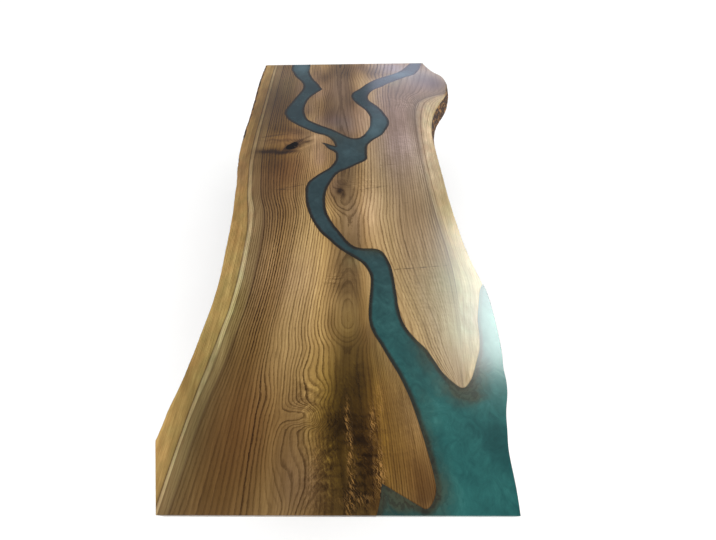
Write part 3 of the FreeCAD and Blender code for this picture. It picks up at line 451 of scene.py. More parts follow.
RG2 = line_of((1050, 240), (900, 222), (800, 205), (700, 194), (600, 192), (500, 195),
              (300, 200), (0, 203), (-200, 213), (-400, 240), (-600, 283), (-700, 303),
              (-760, 313))
FR1 = line_of((1050, 640), (900, 590), (740, 505), (725, 466), (712, 428), (695, 388),
              (670, 352), (640, 328), (600, 315), (500, 305), (400, 303), (300, 304),
              (200, 306), (100, 310), (0, 316), (-100, 325), (-200, 336), (-300, 347),
              (-400, 352), (-500, 348), (-600, 338), (-700, 325), (-760, 317))
FR2 = line_of((1050, 720), (900, 680), (740, 580), (700, 520), (640, 470), (584, 447),
              (526, 420), (465, 396), (407, 382), (360, 373), (310, 369), (255, 369),
              (120, 376), (-20, 382), (-140, 391), (-245, 401), (-345, 417), (-425, 436),
              (-550, 402), (-650, 380), (-720, 352), (-765, 323))
G_LEFT = [-470.0, -400.0, -377.0, -338.0, -190.0, 0.0]
G_RIGHT = [100.0, 200.0, 330.0, 392.0]
G_TONGUE = [62.0, 285.0]

# ring number against distance from the heart of the tree: wide rings first, then narrower
_r = np.arange(0, 700.0, 1.0)


def ring_numbers(r, w):
    return np.r_[0, np.cumsum(1 / np.interp(_r, r, w))[:-1]]


RINGS_LEFT = ring_numbers([0, 60, 150, 190, 235, 320, 375, 400, 700],
                          [7.6, 7.9, 7.9, 9.2, 12.4, 11.8, 6.8, 5.0, 4.6])
RINGS_MIDDLE = ring_numbers([0, 60, 150, 230, 330, 700], [7.6, 7.9, 7.7, 7.2, 6.4, 5.0])
RINGS_RIGHT = ring_numbers([0, 50, 110, 200, 310, 345, 400, 700],
                           [7.6, 8.4, 11.0, 11.5, 10.0, 6.4, 5.0, 4.6])

# how deep the heart of the tree lies under the face, along y
DEEP = line_of((1050, 24), (700, 26), (450, 20), (150, 18), (60, 19), (15, 22), (-40, 40),
               (-140, 66), (-230, 64), (-330, 56), (-440, 42), (-510, 25), (-560, 22),
               (-600, 36), (-650, 58), (-760, 62), (-1050, 56))

# places where a branch or a swirl pushes the rings out: x, y, across, along up, along down, push
KNOTS = [(-37, 15, 30, 36, 48, 26), (-240, 306, 40, 34, 34, 52), (-96, -838, 52, 26, 20, 46),
         (-92, -985, 44, 90, 60, 20), (-160, -930, 34, 60, 40, -12), (-60, -770, 30, 30, 30, 16),
         (-205, -790, 34, 50, 40, 12), (-120, -720, 40, 40, 40, -10), (-150, -1040, 30, 30, 30, 14),
         (60, 930, 90, 60, 60, 14), (40, -470, 30, 40, 40, 4), (-110, 640, 46, 120, 90, 22),
         (250, 640, 60, 50, 50, -16)]


def grain(x, y, z, piece):
    """Across-grain place (signed, mm from the heart) and ring number, at points in mm."""
    x, y = np.array(x, float), np.array(y, float)
    if piece == "left_slab":
        zone = np.exp(-(((x + 95) / 95) ** 2 + ((y + 900) / 115) ** 2))
        zone = np.maximum(zone, 0.8 * np.exp(-(((x - 40) / 60) ** 2 + ((y + 930) / 120) ** 2)))
        pick = np.nonzero(zone > 0.03)[0]
        if len(pick):
            sx = fbm(x[pick], y[pick] * 0.7, np.zeros(len(pick)), 85.0, 2, 21.0)
            sy = fbm(x[pick], y[pick], np.zeros(len(pick)), 60.0, 2, 27.0)
            x[pick] += 18 * sx * zone[pick]
            y[pick] += 20 * sy * zone[pick]
    g = np.empty(len(x))
    left = [f(y) for f in (edge_left, FA, FB, FL1, FL2, FP)]
    if piece in ("left_slab", "knot_fill"):
        right = [np.maximum(f(y), left[-1] + 20 + 30 * i) for i, f in enumerate((TG1, TG2))]
        gs = G_LEFT + G_TONGUE
    else:
        right = [np.maximum(f(y), left[-1] + 5 + 5 * i) for i, f in enumerate((RG1, RG2, FR1, FR2))]
        gs = G_LEFT + G_RIGHT
    xs = left + right
    g = gs[0] + (x - xs[0])
    for k in range(len(xs) - 1):
        t = (x - xs[k]) / np.maximum(xs[k + 1] - xs[k], 1)
        if k == len(xs) - 2:
            inside = t >= 0
        else:
            inside = (t >= 0) & (t < 1)
        g = np.where(inside, gs[k] + (gs[k + 1] - gs[k]) * t, g)
    deep = DEEP(y) + 2.5 * np.sin(y / 61.0) + (TOP - z) * 0.9
    r = np.sqrt(g * g + deep * deep)
    for kx, ky, across, up, down, push in KNOTS:
        along = np.where(y > ky, up, down)
        r = r + push * np.exp(-(((x - kx) / across) ** 2 + ((y - ky) / along) ** 2))
    on_left, on_middle, on_right = (np.interp(r, _r, v)
                                    for v in (RINGS_LEFT, RINGS_MIDDLE, RINGS_RIGHT))
    inner = on_middle if piece in ("left_slab", "knot_fill") else on_right
    return g, np.where(g < 0, on_left, inner)


# lighter and darker places, in stops: x, y, half width, half length, stops. The lighter places at the far right of
# the top are partly a painted sheen.
TONES = [
    (-30, -385, 40, 80, -0.30), (-46, -570, 13, 100, -0.3), (0, -665, 26, 50, -0.85), (-66, -600, 26, 60, 0.3), (-60, -690, 18, 60, 0.35),
    (46, -660, 14, 60, -0.3), (30, -600, 40, 60, -0.2),
    (24, -750, 42, 60, -1.75), (-12, -745, 14, 70, -0.5), (40, -665, 22, 50, -0.35), (64, -690, 18, 80, -0.45),
    (88, -985, 14, 40, -0.4), (-25, -1025, 30, 26, -0.3), (82, -745, 16, 60, -0.15), (-22, -930, 34, 110, -1.3), (-10, -850, 36, 50, -2.0),
    (50, -925, 38, 90, -1.9), (45, -850, 34, 60, -1.0), (50, -1010, 50, 40, -1.5),
    (16, -930, 11, 110, -0.45), (62, -900, 20, 110, -0.4), (-30, -1045, 60, 26, -0.3), (300, 950, 40, 50, 0.15),
    (0, 700, 40, 60, -0.1), (460, 900, 30, 50, 0.15), (-360, 290, 30, 60, 0.2), (86, -930, 16, 100, -0.55), (-40, -1030, 60, 30, -0.4),
    (-60, -895, 24, 40, 0.2), (-260, -900, 200, 200, -0.95), (-130, -920, 60, 120, -0.5),
    (-330, -660, 120, 150, -0.15), (-190, -1020, 120, 110, -0.4), (-100, -620, 70, 110, -0.08),
    (120, -860, 60, 170, -1.35), (175, -975, 60, 70, -1.2), (52, -500, 22, 90, -0.45),
    (6, -545, 26, 66, 0.45), (-44, -490, 16, 40, 0.55), (-10, -430, 40, 26, -0.4), (-100, -300, 60, 260, 0.25), (30, -300, 30, 50, 0.3),
    (-250, 100, 110, 70, -0.65), (-310, 200, 90, 70, -1.2), (-450, 540, 48, 420, -1.0),
    (-455, 200, 30, 120, -0.2), (-350, 480, 60, 90, -0.4), (-352, 264, 56, 13, -1.6),
    (-285, 270, 40, 12, -1.6), (-330, 348, 60, 7, -0.9), (-250, 352, 50, 6, -0.5),
    (-272, 292, 24, 16, -1.5), (-240, 312, 26, 18, -2.0), (-205, 336, 30, 10, -1.3),
    (-37, 13, 12, 17, -3.4), (-20, -6, 8, 12, -0.9), (-32, 52, 34, 34, -0.7), (-30, -60, 24, 50, -0.2),
    (-290, 640, 60, 150, -0.35), (-360, 660, 80, 170, -0.85), (-370, 920, 50, 90, 0.12),
    (-70, 720, 34, 300, 0.2), (-120, 530, 50, 100, -1.2), (-150, 640, 50, 80, -0.5),
    (110, 950, 60, 60, -1.4), (-60, 960, 90, 80, -0.75), (0, 440, 40, 60, 0.25),
    (-300, 352, 60, 20, 0.3), (-180, 372, 60, 24, 0.5), (200, 450, 90, 350, -0.35),
    (260, 760, 110, 90, -0.7), (340, 920, 80, 80, -0.2), (425, 845, 70, 90, -1.1),
    (60, -100, 50, 120, 0.5), (150, -100, 50, 120, 0.1), (250, -100, 50, 100, -0.3),
    (365, -120, 26, 200, -0.35), (300, -300, 50, 70, -0.25), (370, -300, 30, 90, -0.15),
    (-350, -350, 14, 220, 0.6), (-362, -620, 14, 130, 0.6), (350, 480, 24, 130, 0.35), (250, 250, 50, 120, 0.2),
    (-125, 700, 30, 80, -0.4), (-145, 890, 30, 60, -0.75), (10, 680, 36, 90, -0.5), (45, 1010, 40, 40, -0.6),
    (-80, 900, 24, 50, 0.3), (-255, 422, 50, 34, -0.6), (-330, 430, 40, 40, -0.45), (-160, 296, 40, 26, -0.35),
    (-112, 250, 26, 120, -0.45), (-200, 200, 30, 60, -0.2), (-330, 0, 60, 60, -0.35),
    (-440, -700, 20, 110, -0.4), (-422, -100, 20, 110, -0.45), (-385, -950, 30, 90, 0.6),
    (-330, -800, 36, 60, 0.2), (-150, -820, 110, 90, -0.32), (-90, -1000, 70, 60, -0.5),
    (-120, -640, 50, 120, -0.12), (295, 170, 40, 230, 0.4), (122, 150, 30, 130, -0.25),
    (165, 640, 40, 80, -0.2), (340, 965, 110, 56, 0.42), (200, 850, 50, 50, 0.2), (70, -620, 24, 60, -0.85),
    (92, -700, 22, 50, -0.65), (112, -770, 20, 40, -0.3), (205, -1005, 34, 44, -0.65),
    (385, -560, 24, 50, -0.22), (330, -735, 24, 26, -0.35), (48, -735, 24, 56, -0.5),
    (-56, -940, 28, 110, -0.5), (-200, 0, 20, 60, -0.5), (-260, 420, 40, 30, -0.35), (-390, 700, 26, 160, -0.35),
    (-450, 100, 24, 70, -0.35), (-440, -900, 22, 90, 0.3), (-145, 900, 26, 50, -0.35), (300, 90, 34, 190, 0.22),
    (-280, -400, 40, 130, 0.36), (-335, -520, 24, 80, -0.2), (-220, -950, 60, 60, -0.2), (20, -320, 30, 30, 0.3),
    (150, -820, 40, 50, -0.25), (470, 900, 34, 50, 0.4), (-40, -300, 40, 40, 0.15),
    (6, 700, 34, 110, -0.4), (42, 560, 24, 44, -0.35), (40, 1000, 44, 44, -0.3), (-120, 700, 24, 90, -0.25),
    (240, 350, 60, 80, 0.32), (-58, -105, 22, 36, 0.45), (-60, -200, 24, 40, -0.3), (-272, 800, 22, 70, -0.35),
    (-440, -700, 18, 70, -0.25), (-390, 800, 20, 70, -0.2), (-320, 225, 60, 40, 0.3), (-280, 600, 30, 60, -0.2),
    (-210, -250, 60, 160, 0.22), (300, -700, 40, 60, -0.2), (290, 950, 40, 40, 0.2), (425, 835, 30, 50, -0.25),
    (70, -620, 20, 50, -0.25), (200, -1000, 30, 40, -0.25), (-255, -880, 90, 120, 0.12),
    (-202, 720, 26, 56, -0.9), (-188, 900, 30, 130, -0.9), (-150, 840, 36, 90, -0.35), (-206, 590, 30, 60, -0.75),
    (-200, 385, 46, 40, -0.75), (-235, 350, 36, 40, -0.35), (432, 545, 14, 40, -1.3), (402, 482, 14, 30, -1.2),
    (0, -125, 38, 80, 0.7), (-40, -62, 26, 26, 0.3), (-262, -300, 26, 110, 0.6), (-320, -570, 20, 60, 0.6),
    (-362, 238, 52, 20, -0.6), (190, -1022, 60, 22, -0.5), (50, 240, 30, 40, 0.35), (-470, 600, 16, 60, -0.4),
]
# single dark strokes of the wood: x, y, half length, half width, degrees from +X, stops
STROKES = [
    (-352, 266, 56, 10, -8, -0.95), (-266, 267, 44, 9, 11, -0.95), (-350, 284, 62, 14, -6, -0.5),
    (-256, 314, 46, 13, 47, -1.4), (-206, 362, 38, 6, 37, -1.1), (-197, 335, 34, 5, 32, -0.9),
    (-197, 303, 44, 5, 33, 0.35), (-352, 387, 48, 4, 13, -0.8), (-318, 340, 60, 8, 10, -0.35),
    (-94, -769, 44, 5, -30, -0.55), (-88, -800, 42, 5, -27, -0.55), (-92, -784, 40, 5, -28, 0.35),
    (-100, -752, 40, 5, -32, 0.3), (65, -930, 34, 4, 90, -0.9),
    (33, -888, 17, 9, 0, -1.1), (30, -898, 38, 5, 0, -1.0),
    (56, -926, 30, 4, -4, -0.8), (54, -946, 32, 4, 2, -0.9), (57, -967, 28, 4, 5, -0.9),
    (52, -990, 34, 4, -3, -0.8), (38, -1010, 44, 4, 2, -0.6), (-24, -948, 26, 4, -6, -0.7),
    (-20, -972, 30, 4, 4, -0.7), (-28, -915, 24, 4, 8, -0.6), (30, -860, 34, 5, 6, -0.6),
    (34, -835, 30, 4, -4, -0.5), (-22, -1000, 30, 4, -5, -0.6)]
# redder or bluer places, in stops against green. The bluer, less red places at the far right of the top are partly a
# painted sheen, and those on the right of the near end a painted glare.
REDS = [(200, 250, 160, 300, -0.13), (300, -450, 90, 150, -0.2), (350, 900, 90, 90, -0.28),
        (200, 1000, 80, 60, -0.25), (-60, 480, 80, 60, -0.15), (-260, 150, 110, 130, 0.2),
        (150, -930, 90, 130, 0.24), (40, -880, 40, 90, 0.12), (-400, -600, 60, 300, -0.12),
        (-350, -450, 40, 260, -0.1), (-240, -880, 90, 150, 0.2), (220, 870, 60, 60, -0.2),
        (370, -500, 40, 120, -0.12), (-380, -880, 34, 200, -0.14), (-330, 820, 60, 160, -0.2),
        (20, -320, 34, 40, -0.2), (200, -1000, 50, 60, 0.18), (110, -780, 40, 80, 0.14),
        (330, 320, 40, 120, 0.1), (-290, 370, 80, 80, 0.14), (388, -430, 40, 150, -0.13), (345, -600, 50, 60, -0.2),
        (320, -400, 30, 60, -0.12), (290, 950, 60, 60, -0.15), (205, 860, 40, 60, -0.14)]
BLUES = [(15, -880, 90, 170, -1.6), (60, -860, 130, 190, -0.9), (170, -960, 80, 100, -0.3), (-250, -900, 130, 150, -0.45),
         (-300, -650, 80, 120, -0.3), (20, -620, 60, 170, -0.5), (-330, 380, 90, 200, -0.28),
         (-100, 500, 70, 70, 0.85), (370, -120, 30, 110, -0.35), (0, 450, 70, 90, 0.5), (-100, 800, 80, 120, 0.2),
         (200, 1000, 100, 70, 0.9), (200, 340, 140, 280, 0.75), (-110, -930, 50, 110, 0.5), (60, -100, 70, 150, 0.25),
         (360, 870, 110, 110, 0.6), (-170, -400, 80, 120, 0.2), (-455, 200, 40, 150, 0.2),
         (350, 100, 40, 200, 0.2), (300, 800, 160, 220, 0.2), (-60, 760, 120, 280, 0.28),
         (-130, 300, 60, 120, 0.4), (-260, 800, 60, 160, 0.3), (170, -970, 80, 90, -0.5), (0, -900, 80, 170, -0.6),
         (-90, -1000, 60, 60, 0.25), (380, -540, 34, 70, 0.18), (-320, 215, 80, 110, -0.32),
         (-340, 430, 50, 60, -0.3), (-335, -500, 30, 90, -0.3), (-280, -1000, 100, 60, -0.2),
         (380, 950, 110, 70, 0.15), (430, 830, 60, 60, 0.3), (-450, 100, 30, 80, 0.2),
         (-330, 950, 60, 60, 0.25), (60, -600, 30, 60, 0.25), (-260, 420, 40, 40, 0.25),
         (-62, -965, 30, 90, 0.75), (-90, -800, 44, 50, 0.3), (52, -880, 50, 110, -0.6), (0, -840, 40, 60, -0.3),
         (20, 580, 60, 90, 0.3), (40, 1000, 60, 40, 0.3), (-120, 210, 30, 60, 0.3), (-270, 800, 30, 80, 0.2),
         (200, -1000, 34, 44, -0.3), (150, -750, 30, 50, -0.2), (370, -580, 60, 80, 0.14), (220, 600, 120, 120, 0.2),
         (150, 700, 40, 80, 0.15), (-330, 285, 50, 26, -0.35), (-190, 900, 50, 150, 0.35),
         (-215, 600, 40, 60, 0.45), (-170, 740, 50, 60, 0.3), (-200, 385, 50, 50, 0.2), (-60, 50, 30, 60, 0.4),
         (-320, 235, 50, 24, -0.3), (420, 510, 30, 50, -0.6)]
FIGURES = [(-42, -408, 30, 24, 1.9), (-10, -400, 50, 50, 0.7), (262, 640, 75, 60, 1.0), (55, 55, 60, 50, 0.8),
           (-60, -880, 60, 110, 0.8), (45, -930, 45, 110, 0.9), (180, -450, 60, 60, 0.3),
           (-230, 40, 50, 40, 0.5), (120, 620, 60, 80, 0.3), (220, 300, 100, 260, 0.45), (260, -480, 110, 220, 0.4),
           (-15, 70, 50, 40, 0.8), (40, -740, 40, 50, 0.5),
           (-250, -460, 110, 280, 0.24), (150, -860, 60, 170, 0.4), (-95, -800, 56, 60, 1.15),
           (-56, -960, 40, 100, 1.1)]
CROTCH = [(-36, -935, 30, 120, 1.0), (-26, -845, 32, 50, 0.9), (52, -930, 42, 105, 1.0),
          (15, -750, 45, 80, 0.4), (50, -1020, 44, 50, 1.0), (-235, 306, 34, 26, 0.5),
          (-64, -965, 24, 90, 0.7)]
# where the bands across the grain fade into one pale colour: on the right of the near end and at the far right this
# is partly a painted glare that washes them out
FADES_AND_GLARE = [(325, -620, 60, 180, 0.9), (395, -470, 50, 130, 0.8), (440, 900, 80, 90, 0.4)]
# where the rings are faint
CALM = [(8, -530, 60, 170, 0.84), (-150, -990, 66, 90, 0.62), (5, -380, 60, 70, 0.82), (-350, -860, 44, 200, 0.5), (-70, 700, 60, 300, 0.6),
        (430, 850, 130, 150, 0.9), (320, -600, 70, 170, 0.8), (30, -900, 56, 130, 0.85),
        (-104, -838, 50, 40, 0.6), (-320, 335, 80, 80, 0.7), (-180, 370, 60, 40, 0.5), (-50, -970, 44, 120, 0.96), (-120, -935, 44, 70, 0.66), (135, -860, 50, 150, 0.5), (-320, 780, 80, 240, 0.42), (60, 680, 90, 280, 0.6), (170, -150, 110, 200, 0.35), (-30, -200, 50, 60, 0.5),
        (250, -480, 110, 230, 0.72), (200, 350, 120, 330, 0.68), (320, 850, 90, 140, 0.75),
        (-10, 75, 60, 50, 0.95), (10, -20, 60, 120, 0.35), (-240, 300, 60, 40, 0.5)]
FLECKS = [(8, -845, 6, 46, 0.9), (16, -925, 6, 50, 1.0), (24, -978, 7, 36, 1.0),
          (18, -1030, 9, 30, 0.9), (74, -850, 9, 44, 0.9), (92, -800, 12, 70, 0.5), (97, -972, 9, 36, 0.8),
          (-66, -930, 8, 60, 0.35), (88, -960, 12, 50, 1.0), (40, -1020, 40, 12, 0.5)]
# dark streaks across the grain: line through (x0, y0) and (x1, y1), strength
STREAKS = [(-400, 372, -285, 398, 0.9), (-285, 398, -180, 410, 0.5), (-275, 30, -180, 56, 1.0),
           (-300, 26, -215, 30, 0.9), (155, -368, 330, -352, 1.0), (40, 22, 150, 44, 0.8),
           (120, 170, 190, 178, 0.5), (150, -60, 230, -52, 0.5)]



def spread(places, x, y, add=True):
    out = np.zeros(len(x))
    for px, py, rx, ry, v in places:
        s = v * np.exp(-(((x - px) / rx) ** 2 + ((y - py) / ry) ** 2))
        out = out + s if add else np.maximum(out, s)
    return out


def blotted(places, x, y):
    """The same with ragged outlines."""
    n = np.zeros(len(x))
    wx = 10 * fbm(x, y * 0.5, n, 62.0, 3, 51.0)
    wy = 18 * fbm(x, y * 0.5, n, 70.0, 3, 57.0)
    return spread(places, x + wx, y + wy)


def stroked(places, x, y):
    out = np.zeros(len(x))
    for px, py, rl, rw, turn, v in places:
        c, s = math.cos(math.radians(turn)), math.sin(math.radians(turn))
        u, w = (x - px) * c + (y - py) * s, (y - py) * c - (x - px) * s
        out = out + v * np.exp(-(u / rl) ** 4 - (w / rw) ** 2)
    return out


def nearest(points):
    tree = KDTree(len(points))
    for i, (px, py) in enumerate(points):
        tree.insert((px, py, 0), i)
    tree.balance()
    return tree


def distance(tree, x, y):
    return np.array([tree.find((a, b, 0))[2] for a, b in zip(x, y)])


bank_tree = nearest(np.vstack([laid(p, 1.2) for p in (RIGHT_BANK, LEFT_BANK_FAR, CRACK_OUT,
                                                        CRACK_IN, LEFT_BANK, NOTCH, ISLAND)]))
rim_tree = nearest(np.vstack([laid(RIGHT_LIVE, 1.5), laid(LEFT_LIVE, 1.5), laid(NEAR_RIGHT, 1.5)]))
knot_tree = nearest(laid(KNOT + [KNOT[0]], 1.0))

# brown-green haze in the resin beside some banks, and its milky clouds, which on the right of the near end and at the
# far end are partly a painted glare: x, y, half sizes, strength
HALOS = [(225, -1010, 44, 80, 0.9), (205, -900, 34, 100, 0.6), (225, -660, 38, 90, 0.8),
         (322, -792, 90, 62, 1.9), (368, -716, 36, 60, 1.1), (130, -1022, 50, 34, 1.7),
         (-70, 360, 50, 50, 0.5), (30, 300, 60, 60, 0.3), (90, -290, 50, 26, 0.7)]
MILKY_AND_GLARE = [(380, -810, 70, 60, 0.15), (440, -560, 50, 190, 2.3), (264, -945, 26, 80, 0.55),
         (395, -700, 50, 50, 0.45), (370, -880, 70, 60, -0.35),
         (180, -620, 40, 90, -0.2), (250, 925, 90, 40, 1.9), (130, 500, 50, 60, 1.5), (100, 405, 60, 56, 1.5), (-205, 800, 60, 90, -0.5), (300, -1000, 90, 60, 0.25), (330, -930, 60, 40, 0.3),
         (260, -860, 60, 50, -0.2), (130, -1022, 50, 34, -2.0), (370, -910, 60, 60, -0.7), (245, -820, 34, 50, 0.7),
         (340, -1015, 90, 26, 0.4), (-275, 1010, 60, 60, 1.9),
         (0, 250, 50, 60, 0.7), (-205, 800, 40, 60, -0.6), (-260, 570, 60, 70, -0.6),
         (60, 700, 50, 70, -1.0)]


# ---------------------------------------------------------------- pockets in the underside
def box_loop(x0, x1, y0, y1):
    return [(x0, y0), (x1, y0), (x1, y1), (x0, y1)]


def ring_loop(x, y, dia, n=28):
    return [(x + dia / 2 * math.cos(2 * math.pi * i / n), y + dia / 2 * math.sin(2 * math.pi * i / n))
            for i in range(n)]


pockets = []          # loop, height of its floor
for yc in (-860, 0, 860):
    pockets.append((box_loop(-345, 345, yc - 21, yc + 21), 718.0))
    pockets.append((box_loop(-345, 345, yc - 21, yc - 16), 731.5))
    pockets.append((box_loop(-345, 345, yc + 16, yc + 21), 731.5))
    for x in (-300, -130, 130, 300):
        pockets.append((ring_loop(x, yc, 9), 733.0))
for y in (-680, -560, 560, 680):
    for x in (-345, -40, 40, 345):
        pockets.append((ring_loop(x, y, 12), 741.0))


def with_crossings(ids):
    """Adds a plan point wherever a bank crosses a line of the recesses."""
    global plan
    out = [ids[0]]
    for a, b in zip(ids[:-1], ids[1:]):
        p, q = plan[a], plan[b]
        for level in sorted((yc + d for yc in (-860, 0, 860) for d in (-21, -16, 16, 21)),
                            reverse=p[1] > q[1]):
            if (p[1] - level) * (q[1] - level) < 0:
                t = (level - p[1]) / (q[1] - p[1])
                plan = np.vstack([plan, p + (q - p) * t])
                out.append(len(plan) - 1)
        out.append(b)
    return out


for name in BANKS:
    chain[name] = with_crossings(chain[name])


def area(p):
    return 0.5 * float(np.sum(p[:, 0] * np.roll(p[:, 1], -1) - np.roll(p[:, 0], -1) * p[:, 1]))


PIECES = ["left_slab", "far_centre_slab", "right_slab", "river_resin", "knot_fill"]
loops = {}
for piece in PIECES:
    ids = loop_ids(LOOPS[piece])
    loops[piece] = ids if area(plan[ids]) > 0 else ids[::-1]
rim_place = {v: k for k, v in enumerate(outer)}


def inside(pts, poly):
    x, y = pts[:, 0], pts[:, 1]
    got = np.zeros(len(pts), bool)
    q = np.roll(poly, -1, 0)
    for (x0, y0), (x1, y1) in zip(poly, q):
        if y0 == y1:
            continue
        hit = (y0 > y) != (y1 > y)
        got ^= hit & (x < (x1 - x0) * (y - y0) / (y1 - y0) + x0)
    return got


def hex_grid(step):
    out = []
    for k, y in enumerate(np.arange(-1049.0, 1050.0, step * 0.866)):
        x = np.arange(-500 + (k % 2) * step / 2, 500, step)
        out.append(np.column_stack([x, np.full(len(x), y)]))
    return np.vstack(out)


def layer(rim_xy, step, gap, extra):
    """One face of the top cut into triangles: points, triangles, the piece and the pocket of each
    triangle, and where every plan point went."""
    pts = plan.copy()
    pts[outer] = rim_xy
    used = sorted({i for piece in PIECES for i in loops[piece]})
    place = {v: k for k, v in enumerate(used)}
    faces = [[place[i] for i in loops[piece]] for piece in PIECES]
    every = [pts[used]]
    n = len(used)
    for loop, _ in extra:
        every.append(np.array(loop))
        faces.append(list(range(n, n + len(loop))))
        n += len(loop)
    fixed = np.vstack(every)
    grid = hex_grid(step)
    grid = grid[inside(grid, np.array(rim_xy))]
    grid = grid[distance(nearest(fixed), grid[:, 0], grid[:, 1]) > gap]
    cloud = np.vstack([fixed, grid])
    got = delaunay_2d_cdt([Vector(p) for p in cloud], [], faces, 1, 1e-4, True)
    v, tri, from_v, from_f = got[0], got[2], got[3], got[5]
    v = np.array([(p[0], p[1]) for p in v])
    went = {}
    for i, src in enumerate(from_v):
        for s in src:
            if s < len(used):
                went[used[s]] = i
    tri_keep, piece_of, pocket_of = [], [], []
    for t, f in zip(tri, from_f):
        own = [k for k in f if k < len(PIECES)]
        if not own:
            continue
        tri_keep.append(t)
        piece_of.append(max(own))
        deep = [k for k in f if k >= len(PIECES)]
        pocket_of.append(max(deep) - len(PIECES) if deep else -1)
    return v, np.array(tri_keep), np.array(piece_of), np.array(pocket_of), went


top_v, top_t, top_piece, _, top_went = layer(side_xyz[0, :, :2], GRID, 3.0, [])
low_v, low_t, low_piece, low_pocket, low_went = layer(side_xyz[-1, :, :2], GRID_UNDER, 4.5, pockets)
low_piece = np.where(low_piece == PIECES.index("knot_fill"), 0, low_piece)
low_level = np.where(low_pocket >= 0, np.array([z for _, z in pockets])[low_pocket], UNDER)
KNOT_FLOOR = TOP - 30.0


def build(piece):
    """Points, faces and what each point carries, for one piece of the top."""
    no = PIECES.index(piece)
    xyz, kind, carry = [], [], []      # kind: 0 top, 1 side, 2 under or inner
    faces = []

    def add(p, k, c=(0.0, 0.0)):
        xyz.append(p)
        kind.append(k)
        carry.append(c)
        return len(xyz) - 1

    mine = top_t[top_piece == no]
    top_no = {}
    for i in np.unique(mine):
        top_no[i] = add((top_v[i, 0], top_v[i, 1], TOP), 0)
    for t in mine:
        faces.append([top_no[i] for i in t])

    if piece == "knot_fill":
        low_no = {i: add((top_v[i, 0], top_v[i, 1], KNOT_FLOOR), 2) for i in np.unique(mine)}
        for t in mine[:, ::-1]:
            faces.append([low_no[i] for i in t])
        ring = [top_went[i] for i in loops[piece]]
        for a, b in zip(ring, ring[1:] + ring[:1]):
            faces.append([top_no[a], low_no[a], low_no[b], top_no[b]])
        return xyz, kind, carry, faces

    tri = low_t[low_piece == no]
    lev = low_level[low_piece == no]
    low_no, at = {}, {}
    for t, z in zip(tri, lev):
        for i in t:
            if (i, z) not in low_no:
                low_no[i, z] = add((low_v[i, 0], low_v[i, 1], z), 2)
                at.setdefault(i, []).append(z)
    level_of = {}
    for t, z in zip(tri, lev):
        faces.append([low_no[t[2], z], low_no[t[1], z], low_no[t[0], z]])
        for a, b in ((t[0], t[1]), (t[1], t[2]), (t[2], t[0])):
            level_of[a, b] = z

    def down(i, z0, z1):
        """The levels of point i strictly between z0 and z1, from the top down."""
        return [low_no[i, z] for z in sorted(at[i], reverse=True) if z1 < z < z0]

    for (a, b), z in level_of.items():
        other = level_of.get((b, a))
        if other is not None and z < other:
            faces.append([low_no[a, other]] + down(a, other, z) + [low_no[a, z], low_no[b, z]]
                         + down(b, other, z)[::-1] + [low_no[b, other]])

    column = {}

    def column_of(k):
        """The points of the edge below rim point k, without the top and the bottom one."""
        if k not in column:
            rise = np.clip(np.arange(n_rows) / 2.0, 0, 1)
            column[k] = [add(tuple(side_xyz[j, k]), 1, (bark[k] * rise[j], float(j)))
                         for j in range(1, n_rows - 1)]
        return column[k]

    ids = loops[piece]
    for a, b in zip(ids, ids[1:] + ids[:1]):
        ta, tb, la, lb = top_no[top_went[a]], top_no[top_went[b]], low_went[a], low_went[b]
        ka, kb = rim_place.get(a), rim_place.get(b)
        if ka is not None and kb == (ka + 1) % n_out:
            ca = [ta] + column_of(ka) + [low_no[la, UNDER]]
            cb = [tb] + column_of(kb) + [low_no[lb, UNDER]]
            for j in range(n_rows - 1):
                faces.append([ca[j], ca[j + 1], cb[j + 1], cb[j]])
            continue
        z = level_of[la, lb]
        mid_a = column_of(ka) if ka is not None else down(la, TOP, z)
        mid_b = column_of(kb) if kb is not None else down(lb, TOP, z)
        faces.append([ta] + mid_a + [low_no[la, z], low_no[lb, z]] + mid_b[::-1] + [tb])

    if piece == "left_slab":
        hole = top_t[top_piece == PIECES.index("knot_fill")]
        floor = {i: add((top_v[i, 0], top_v[i, 1], KNOT_FLOOR), 2) for i in np.unique(hole)}
        for t in hole:
            faces.append([floor[i] for i in t])
        ring = [top_went[i] for i in loops["knot_fill"]][::-1]
        for a, b in zip(ring, ring[1:] + ring[:1]):
            faces.append([top_no[a], floor[a], floor[b], top_no[b]])
    return xyz, kind, carry, faces


def link(obj):
    bpy.context.scene.collection.objects.link(obj)
    return obj


def vector_attribute(mesh, name, columns):
    a = mesh.attributes.new(name, "FLOAT_VECTOR", "POINT")
    a.data.foreach_set("vector", np.column_stack(columns).astype(np.float32).ravel())


def segment_distance(x, y, x0, y0, x1, y1):
    """Signed distance to a short line, and how far past its ends a point lies."""
    d = np.array([x1 - x0, y1 - y0], float)
    length = np.hypot(*d)
    d /= length
    along = (x - x0) * d[0] + (y - y0) * d[1]
    side = (x - x0) * -d[1] + (y - y0) * d[0]
    past = np.maximum(0, np.maximum(-along, along - length))
    return side, past


